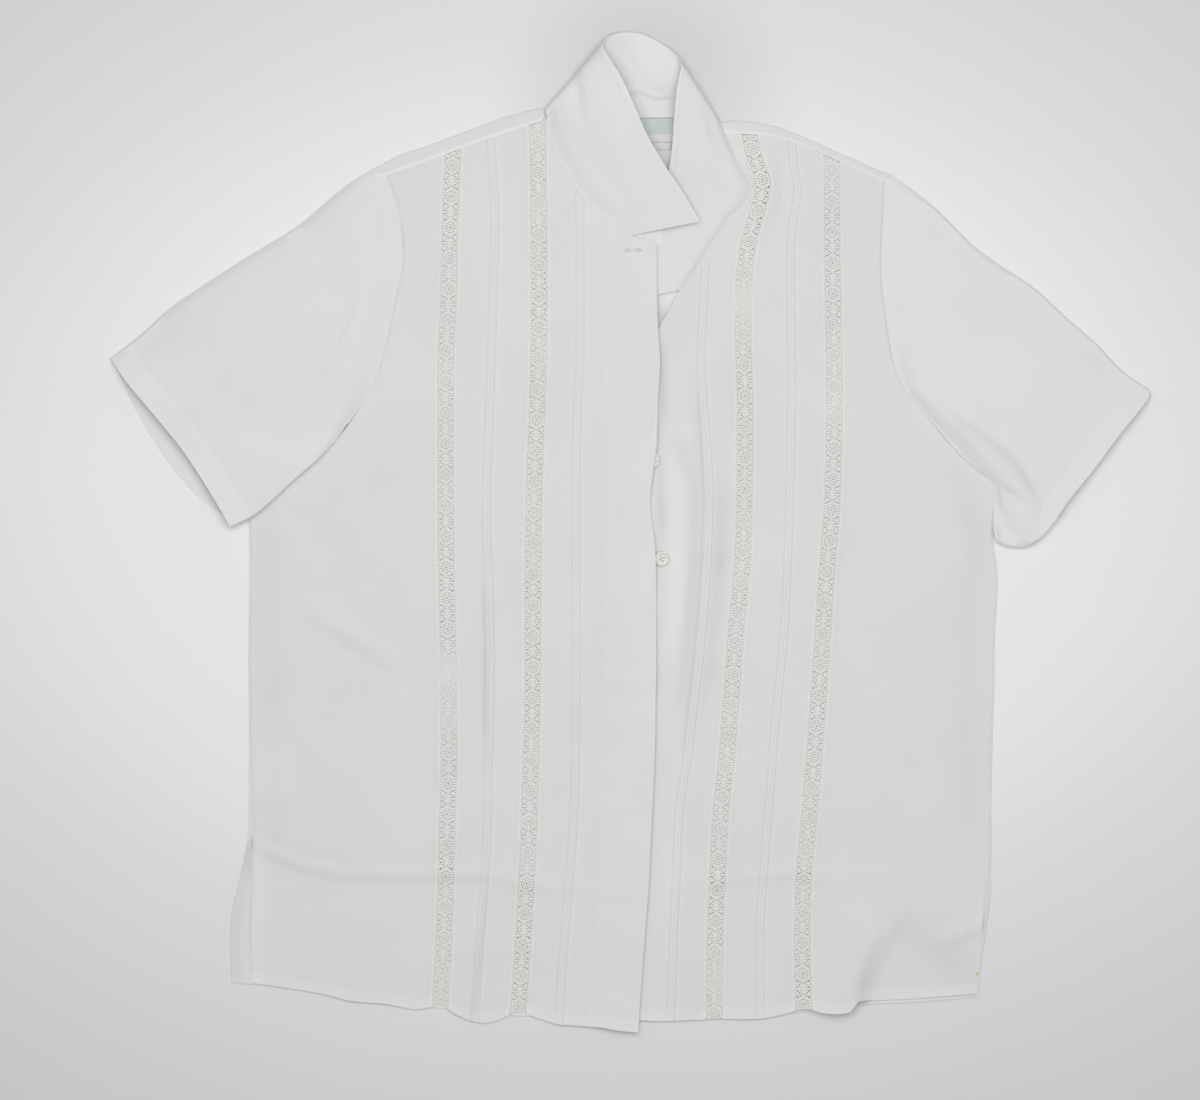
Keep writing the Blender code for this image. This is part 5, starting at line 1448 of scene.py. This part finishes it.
def neck_facing():
    x = np.linspace(-44.0, 56.0, 44)
    top, bottom = level_line(FACING_TOP)(x), level_line(FACING_BOTTOM)(x)
    shares = np.concatenate([[0.0, 0.03, 0.1], np.linspace(0.16, 1.0, 12)])[:, None]
    y = bottom + (top - bottom) * shares
    wide = np.broadcast_to(x, y.shape)
    level = FRONT_LEVEL + rumple(wide, y) * 0.4
    turned = np.where(shares < 0.12, 0.2, 0.0) + np.zeros_like(y)
    upper = np.dstack([wide, y, level + CLOTH / 2 + turned])
    lower = np.dstack([wide, y, level - CLOTH / 2])
    # Painted shadow along the wavy seam at the top of the neck facing.
    seam_shadow_line = 349.5 + 1.8 * np.sin(x / 4.5) * (np.abs(x - 12.0) < 14.2) - 0.1 * (x - 8.0)
    ply_and_painted_light = 0.8 - 1.3 * np.exp(-((y - seam_shadow_line) / 1.6) ** 2)
    return shell("neck_facing", upper, lower, crepe, ply_and_painted_light=ply_and_painted_light)


def small_label(name, corners, finish, bow):
    """A small woven piece with folded ends, bowed up a little in its middle."""
    a, b, c, d = [np.array(corner, dtype=float) for corner in corners]
    along_label, down_label = np.meshgrid(np.linspace(0, 1, 28), np.linspace(1, 0, 20))
    plan = ((1 - down_label[..., None]) * ((1 - along_label[..., None]) * a
                                           + along_label[..., None] * b)
            + down_label[..., None] * ((1 - along_label[..., None]) * d
                                       + along_label[..., None] * c))
    arch = bow * np.sin(math.pi * along_label) * np.sin(math.pi * down_label)
    folded = 0.3 * (np.minimum(along_label, 1 - along_label) < 0.09)
    rib = 0.05 * np.sin(plan[..., 1] * 5.0)
    level = FRONT_LEVEL + arch
    upper = np.dstack([plan, level + 0.25 + folded + rib])
    lower = np.dstack([plan, level - 0.3])
    return shell(name, upper, lower, finish, ply_and_painted_light=np.where(folded > 0, 1.0, 0.15))


facing = neck_facing()


def turned_corner():
    """The end of the neck seam: a small corner of cloth that is turned in and wrinkled."""
    x = np.linspace(-0.5, 26.0, 34)
    top = np.interp(x, [-0.5, 8.0, 26.0], [238.4, 241.2, 243.4])
    bottom = np.interp(x, [-0.5, 9.0, 18.0, 26.0], [236.8, 232.6, 231.6, 227.8])
    shares = np.linspace(0.0, 1.0, 16)[:, None]
    y = bottom + (top - bottom) * shares
    wide = np.broadcast_to(x, y.shape)
    along_fold = y - 234.4 - 0.28 * (wide - 4.0)
    level = 3.7 + 0.55 * np.exp(-(along_fold / 0.9) ** 2)
    level += 0.4 * np.exp(-((along_fold + 3.4) / 0.8) ** 2) * eased((wide - 8.0) / 6.0)
    # Painted shade in the crease beside the small fold.
    ply_and_painted_light = 0.6 - 0.7 * np.exp(-((along_fold + 1.3) / 0.5) ** 2)
    return shell("turned_corner", np.dstack([wide, y, level + 0.25]),
                 np.dstack([wide, y, level - 0.25]), collar_cloth, ply_and_painted_light=ply_and_painted_light,
                 stands_in=False)


corner = turned_corner()
label = small_label("neck_label", LABEL, mint_label, 0.4)
label_tape = small_label("neck_label_strip", LABEL_STRIP, white_tape, 0.3)

# %% [markdown]
# ## Buttons
# The buttons are turned from a pearly shell-like plate: a rounded rim, a dished face with
# four holes, and thread across the holes. A turned profile gives the rim and the dish.
# The holes are cut in the plan first, with the same triangulation as the lace.

# %% One button
BUTTON_PLACES = [(14.0, 137.0), (17.6, 57.4), (25.3, -21.2), (15.6, -100.6), (11.0, -179.8),
                 (5.6, -259.0)]
BUTTON_BASE = FRONT_LEVEL + 0.8
BUTTON_RINGS = [1.2, 2.9, 3.6, 4.2, 4.6, 4.9, 5.3, 5.7, 6.0, 6.18, 6.25]


def button_height(radius):
    """Upper side of the button: a dish, a bead round it and a rounded rim."""
    dish = 1.55 + 0.15 * eased((radius - 2.0) / 2.0)
    bead = 0.6 * np.exp(-((radius - 5.1) / 0.75) ** 2)
    rim = 0.95 * eased((radius - 5.45) / 0.8) ** 2
    grooves = 0.05 * np.cos(radius * 7.5)
    return dish + bead - rim + grooves


def button_plan():
    sides = 40
    loops = [hole(2.0 * math.cos(a), 2.0 * math.sin(a), 0.85, sides=14)
             for a in (math.pi / 4 + math.pi / 2 * np.arange(4))]
    rings = [(r * math.cos(2 * math.pi * i / sides), r * math.sin(2 * math.pi * i / sides))
             for r in BUTTON_RINGS[1:] for i in range(sides)]
    inner = [(0.0, 0.0)] + [(0.7 * math.cos(i * math.pi / 4), 0.7 * math.sin(i * math.pi / 4))
                            for i in range(8)]
    places = [Vector(place) for loop in loops for place in loop]
    edges = [(14 * k + i, 14 * k + (i + 1) % 14) for k in range(4) for i in range(14)]
    places += [Vector(place) for place in rings + inner]
    points, _, faces = delaunay_2d_cdt(places, edges, [], 0, 1e-5)[:3]
    points = np.array([tuple(point) for point in points])
    kept = [tuple(face) for face in faces
            if not any(point_inside(points[list(face)].mean(axis=0), loop)
                       for loop in loops)]
    return points, kept


def make_button(order, place, turn):
    points, faces = button_plan()
    radius = np.hypot(*points.T)
    spin = math.radians(turn)
    x = points[:, 0] * math.cos(spin) - points[:, 1] * math.sin(spin)
    y = points[:, 0] * math.sin(spin) + points[:, 1] * math.cos(spin)
    low = 0.45 * eased((radius - 4.9) / 1.4)
    upper = np.stack([x + place[0], y + place[1], BUTTON_BASE + button_height(radius)], axis=-1)
    lower = np.stack([x + place[0], y + place[1], BUTTON_BASE + low], axis=-1)
    count = len(points)
    edges = {}
    for face in faces:
        for pair in zip(face, face[1:] + face[:1]):
            edges[pair] = True
    rim = [pair for pair in edges if (pair[1], pair[0]) not in edges]
    all_faces = faces + [tuple(count + i for i in reversed(face)) for face in faces]
    all_faces += [(b, a, count + a, count + b) for a, b in rim]
    return make_piece("pearl_button_%d" % order, np.vstack([upper, lower]), all_faces, pearl,
                      None, ("button_%d" % order,), 60.0)


for order, place in enumerate(BUTTON_PLACES, start=1):
    make_button(order, place, 23.0 * order)

# %% [markdown]
# ## Sewing
# Rows of small stitches hold the hems, the collar and the label. One stitch is a short
# bar with pointed ends. All stitches of a row are one joined mesh, made as an array along
# a line, which keeps thousands of them light.

# %% Stitches along a line
def resampled(path, step):
    path = np.asarray(path, dtype=float)
    length = travelled(path)
    places = np.arange(step / 2, length[-1], step)
    return np.stack([np.interp(places, length, path[:, axis]) for axis in range(3)], axis=-1)


def stitch_bars(middles, runs, length, thickness):
    """Points and faces of many stitches, each given by its middle and its direction."""
    runs = runs / (np.linalg.norm(runs, axis=1, keepdims=True) + 1e-9)
    sides = np.cross(runs, [0.0, 0.0, 1.0])
    sides = sides / (np.linalg.norm(sides, axis=1, keepdims=True) + 1e-9)
    rise = np.cross(sides, runs)
    half = thickness / 2
    parts = [middles - runs * length / 2 - rise * half]
    for share in (-0.28, 0.28):
        for a, b in ((1, 0), (0, 1), (-1, 0), (0, -1)):
            parts.append(middles + runs * length * share + sides * half * a + rise * half * b)
    parts.append(middles + runs * length / 2 - rise * half)
    points = np.stack(parts, axis=1)
    one = [(0, 2, 1), (0, 3, 2), (0, 4, 3), (0, 1, 4), (9, 5, 6), (9, 6, 7), (9, 7, 8),
           (9, 8, 5)]
    one += [(1, 2, 6), (1, 6, 5), (2, 3, 7), (2, 7, 6), (3, 4, 8), (3, 8, 7), (4, 1, 5),
            (4, 5, 8)]
    faces = np.array(one)[None] + 10 * np.arange(len(middles))[:, None, None]
    return points.reshape(-1, 3), faces.reshape(-1, 3)


def sewn(name, lots):
    """One joined mesh of several lots of stitches, each given by its points and faces."""
    starts = np.cumsum([0] + [len(points) for points, _ in lots])
    return make_piece(name, np.vstack([points for points, _ in lots]),
                      np.vstack([faces + start for (_, faces), start in zip(lots, starts)]),
                      sewing_thread)


def stitched(name, paths, length=2.3, step=2.9, thickness=0.34):
    """One joined mesh of all stitches along some lines."""
    lots = []
    for path in paths:
        places = resampled(path, step)
        if len(places) > 1:
            lots.append(stitch_bars(places, np.gradient(places, axis=0), length, thickness))
    return sewn(name, lots)


# %% Rows of stitches on the fronts
LACE_SEAM = 2.1


def hem_row(hem, left, right, height):
    x = np.linspace(left, right, 220)
    y = hem(x) + HEM_DEPTH - 1.2
    return np.stack([x, y, height(x, y) + CLOTH / 2 + 0.27], axis=-1)


def upright_row(line, low, high, height, lift=0.02):
    y = np.linspace(low, high, 320)
    x = line(y)
    return np.stack([x, y, height(x, y) + CLOTH / 2 + lift], axis=-1)


left_rows = [hem_row(hem_left, -301.0, 5.0, left_front_height),
             upright_row(lambda y: placket_left(y) + 0.8, -394.0, 246.0, left_front_height)]
right_rows = [hem_row(hem_right, -8.0, 275.0, right_front_height)]
for rows, tables, low, high, height in (
        (left_rows, (LACE_1, LACE_2), -378.0, 300.0, left_front_height),
        (right_rows, (LACE_3, LACE_4), -380.0, 296.0, right_front_height)):
    for table in tables:
        for side in (-1, 1):
            rows.append(upright_row(beside(table, side * (HALF_LACE + LACE_SEAM)), low, high,
                                    height, 0.2))
stitched("stitches_left_front", left_rows)
stitched("stitches_right_front", right_rows)

# %% Rows of stitches on collar, cuffs, label and facing
def surface_row(grid, column, lift):
    normals = grid_normals(grid)
    return grid[:, column] + normals[:, column] * lift


collar_rows = [surface_row(collar_grid, -4, 0.55),
               collar_grid[2, 3:-4] + grid_normals(collar_grid)[2, 3:-4] * 0.55]
stitched("stitches_collar", collar_rows)
cuff_rows = []
for rings in (rings_left, rings_right):
    normals = grid_normals(rings, closed=True)
    row = rings[-10] + normals[-10] * 0.42
    on_top = rings[-10][:, 2] > FRONT_LEVEL + 0.6
    cuff_rows.append(row[on_top])
stitched("stitches_cuffs", cuff_rows)


def label_rows(corners, inset):
    a, b, c, d = [np.array([*corner, FRONT_LEVEL + 0.62]) for corner in corners]
    rows = []
    for first, second in ((a, d), (b, c)):
        towards = np.array([inset if first[0] < 20 else -inset, 0.0, 0.0])
        rows.append(np.array([first + towards, second + towards]))
    return rows


stitched("stitches_label", label_rows(LABEL, 1.2), 1.5, 2.0, 0.25)

# %% Thread of the buttons and the buttonhole
def button_threads():
    """Crossed threads through the four holes of every button."""
    lots = []
    for order, place in enumerate(BUTTON_PLACES, start=1):
        spin = math.radians(23.0 * order)
        for angle in (math.pi / 4, 3 * math.pi / 4):
            for shift in (-0.28, 0.0, 0.28):
                run = np.array([math.cos(angle + spin), math.sin(angle + spin), 0.0])
                side = np.array([-run[1], run[0], 0.0])
                middle = np.array([*place, BUTTON_BASE + 1.78]) + side * shift
                lots.append(stitch_bars(middle[None], run[None], 4.6, 0.42))
    return sewn("button_threads", lots)


def buttonhole(middle, length):
    """A worked slot: short satin stitches set across a line, round both its ends."""
    turns = np.linspace(0.0, 2 * math.pi, 76, endpoint=False)
    x = middle[0] + length / 2 * np.sign(np.cos(turns)) * np.abs(np.cos(turns)) ** 0.35
    y = middle[1] + 0.95 * np.sign(np.sin(turns)) * np.abs(np.sin(turns)) ** 0.6
    runs = np.stack([0.25 * np.cos(turns), np.sin(turns), np.zeros(76)], axis=-1)
    level = left_front_height(x, y) + CLOTH / 2 + 0.3
    some, some_faces = stitch_bars(np.stack([x, y, level], axis=-1), runs, 1.1, 0.42)
    return make_piece("buttonhole", some, some_faces, sewing_thread)


def slit(middle, length):
    """A narrow strip of darker crepe over the middle of the buttonhole: painted shade of the
    cut.
    """
    shares = np.linspace(0.0, 1.0, 24)
    x = middle[0] + length * (shares - 0.5)
    half = 0.34 * np.sin(math.pi * shares) ** 0.5 + 0.02
    grid = []
    for side in (-1, 1):
        y = middle[1] + side * half
        grid.append(np.stack([x, y, left_front_height(x, y) + CLOTH / 2 + 0.04], axis=-1))
    grid = np.array(grid)
    faces = grid_faces(2, 24)
    return make_piece("buttonhole_slit_shade", grid.reshape(-1, 3), faces, crepe,
                      np.full(48, -1.0))


BUTTONHOLE_MIDDLE = (2.4, 225.2)
button_threads()
buttonhole(BUTTONHOLE_MIDDLE, 13.0)
slit(BUTTONHOLE_MIDDLE, 12.4)

# %% [markdown]
# ## The cut of the cloth
# The size that each piece of cloth was cut to is printed with its area. A panel is nearly its
# own size, a sleeve is the whole tube, and the back is one wide piece. The lace is full
# of holes, so the area given for it is that of its whole rectangle.

def upper_area(piece):
    """Half of the surface of a closed thin shell, in square metres."""
    return sum(polygon.area for polygon in piece.data.polygons) / 2


def declare(piece, width, length, filled=None):
    area = upper_area(piece) if filled is None else filled
    area = min(width * length, area)
    print("%-20s cut %4.0f x %4.0f mm, area %.4f m2" % (piece.name, width * 1000,
                                                       length * 1000, area))


declare(back, 0.620, 0.750)
declare(front_left_side, 0.160, 0.690)
declare(front_left_middle, 0.068, 0.730)
declare(front_left_inner, 0.118, 0.710)
declare(front_right_inner, 0.125, 0.720)
declare(front_right_middle, 0.080, 0.715)
declare(front_right_side, 0.165, 0.690)
for strip in (lace_left_outer, lace_left_inner, lace_right_inner, lace_right_outer):
    declare(strip, 0.0135, 0.740,
            sum(polygon.area for polygon in strip.data.polygons))
declare(sleeve_left, 0.480, 0.290)
declare(sleeve_right, 0.480, 0.290)
declare(collar, 0.085, 0.560)
declare(facing, 0.104, 0.034)
declare(corner, 0.028, 0.016)
declare(label, 0.030, 0.0215)
declare(label_tape, 0.017, 0.010)

# %% [markdown]
# ## Table, light and camera
# The table is a pale surface. Its colour carries a painted pool of light that fades from
# the middle towards the corners and a painted shadow round the collar. A very large soft
# lamp above, a little towards the collar, gives the folds that face the hem a slightly
# darker side, and an even sky fills the rest. The camera hangs far above the middle of
# the picture with a long lens, so the raised collar is not pushed outward.

# %% Table
TABLE_REACH = 3.0
# Painted pool of light: the table is brightest near the middle and fades towards the corners.
# Painted shadow: darker round the collar.
LIGHT_POOL = (-0.03, 0.045, 0.0)
POOL_STRETCH = (1.0, 1.52, 1.0)
POOL_FADING = ((0.40, 1.0), (0.56, 0.90), (0.85, 0.78))
COLLAR_SHADE_PLACE = (0.012, 0.335, 0.0)
COLLAR_SHADE_EDGE = (0.045, 0.14)
COLLAR_SHADE = (0.86, 1.0)


def make_table():
    """A pale table with a painted pool of light that fades away from the middle and a painted
    shadow under the collar.
    """
    mesh = bpy.data.meshes.new("table top")
    mesh.from_pydata([(x * TABLE_REACH, y * TABLE_REACH, 0.0)
                      for x, y in ((-1, -1), (1, -1), (1, 1), (-1, 1))], [], [(0, 1, 2, 3)])
    table = bpy.data.objects.new("table_top", mesh)
    bpy.context.scene.collection.objects.link(table)
    finish, tree, shader = new_finish("pale table")
    uneven = tree.nodes.new("ShaderNodeGroup")
    uneven.node_tree = uneven_group
    uneven.inputs["Patch size"].default_value = 3.0
    uneven.inputs["Lowest"].default_value = 0.99
    place = object_place(tree)
    stretched = tree.nodes.new("ShaderNodeVectorMath")
    stretched.operation = "MULTIPLY"
    stretched.inputs[1].default_value = POOL_STRETCH
    tree.links.new(place, stretched.inputs[0])
    fading = tree.nodes.new("ShaderNodeValToRGB")
    ramp = fading.color_ramp
    ramp.interpolation = "B_SPLINE"
    ramp.elements[0].position, ramp.elements[1].position = POOL_FADING[0][0], POOL_FADING[2][0]
    ramp.elements.new(POOL_FADING[1][0])
    for element, (_, tone) in zip(ramp.elements, POOL_FADING):
        element.color = (tone, tone, tone, 1.0)
    tree.links.new(distance_from(tree, LIGHT_POOL, stretched.outputs["Vector"]),
                   fading.inputs["Fac"])
    collar_shade = ranged(tree, distance_from(tree, COLLAR_SHADE_PLACE, place),
                          COLLAR_SHADE_EDGE, COLLAR_SHADE, "SMOOTHSTEP")
    shaded = mixed(tree, fading.outputs["Color"], collar_shade)
    tint = mixed(tree, shaded, uneven.outputs["Shade"])
    pale = mixed(tree, (0.935, 0.93, 0.94, 1.0), tint)
    tree.links.new(pale, shader.inputs["Base Color"])
    shader.inputs["Roughness"].default_value = 0.6
    shader.inputs["Specular IOR Level"].default_value = 0.2
    mesh.materials.append(finish)


make_table()

# %% Lamps and sky
def soft_lamp(name, place, size, power, aim=(0.0, 0.0, 0.0)):
    light = bpy.data.lights.new(name, "AREA")
    light.shape = "DISK"
    light.size = size
    light.energy = power
    lamp = bpy.data.objects.new(name, light)
    lamp.location = place
    lamp.rotation_euler = (Vector(aim) - Vector(place)).to_track_quat("-Z", "Y").to_euler()
    bpy.context.scene.collection.objects.link(lamp)
    return lamp


soft_lamp("lamp over the table", (0.02, 0.24, 1.7), 2.0, 19.5)
world = bpy.data.worlds.new("even sky")
world.use_nodes = True
world.node_tree.nodes["Background"].inputs["Color"].default_value = (0.97, 0.98, 1.0, 1.0)
world.node_tree.nodes["Background"].inputs["Strength"].default_value = 0.38
bpy.context.scene.world = world
bpy.context.scene.view_settings.view_transform = "Standard"

# %% Camera
VIEW_WIDTH = 0.960
VIEW_MIDDLE = (-0.0240, -0.01424)
CAMERA_HEIGHT = 4.0
camera_data = bpy.data.cameras.new("camera above")
camera_data.sensor_width = 36.0
camera_data.sensor_fit = "HORIZONTAL"
camera_data.lens = 36.0 * CAMERA_HEIGHT / VIEW_WIDTH
camera_data.clip_end = 20.0
camera = bpy.data.objects.new("camera above", camera_data)
camera.location = (*VIEW_MIDDLE, CAMERA_HEIGHT)
camera.rotation_euler = (0.0, 0.0, 0.0)
bpy.context.scene.collection.objects.link(camera)
bpy.context.scene.camera = camera
print("lens %.0f mm at %.1f m" % (camera_data.lens, CAMERA_HEIGHT))
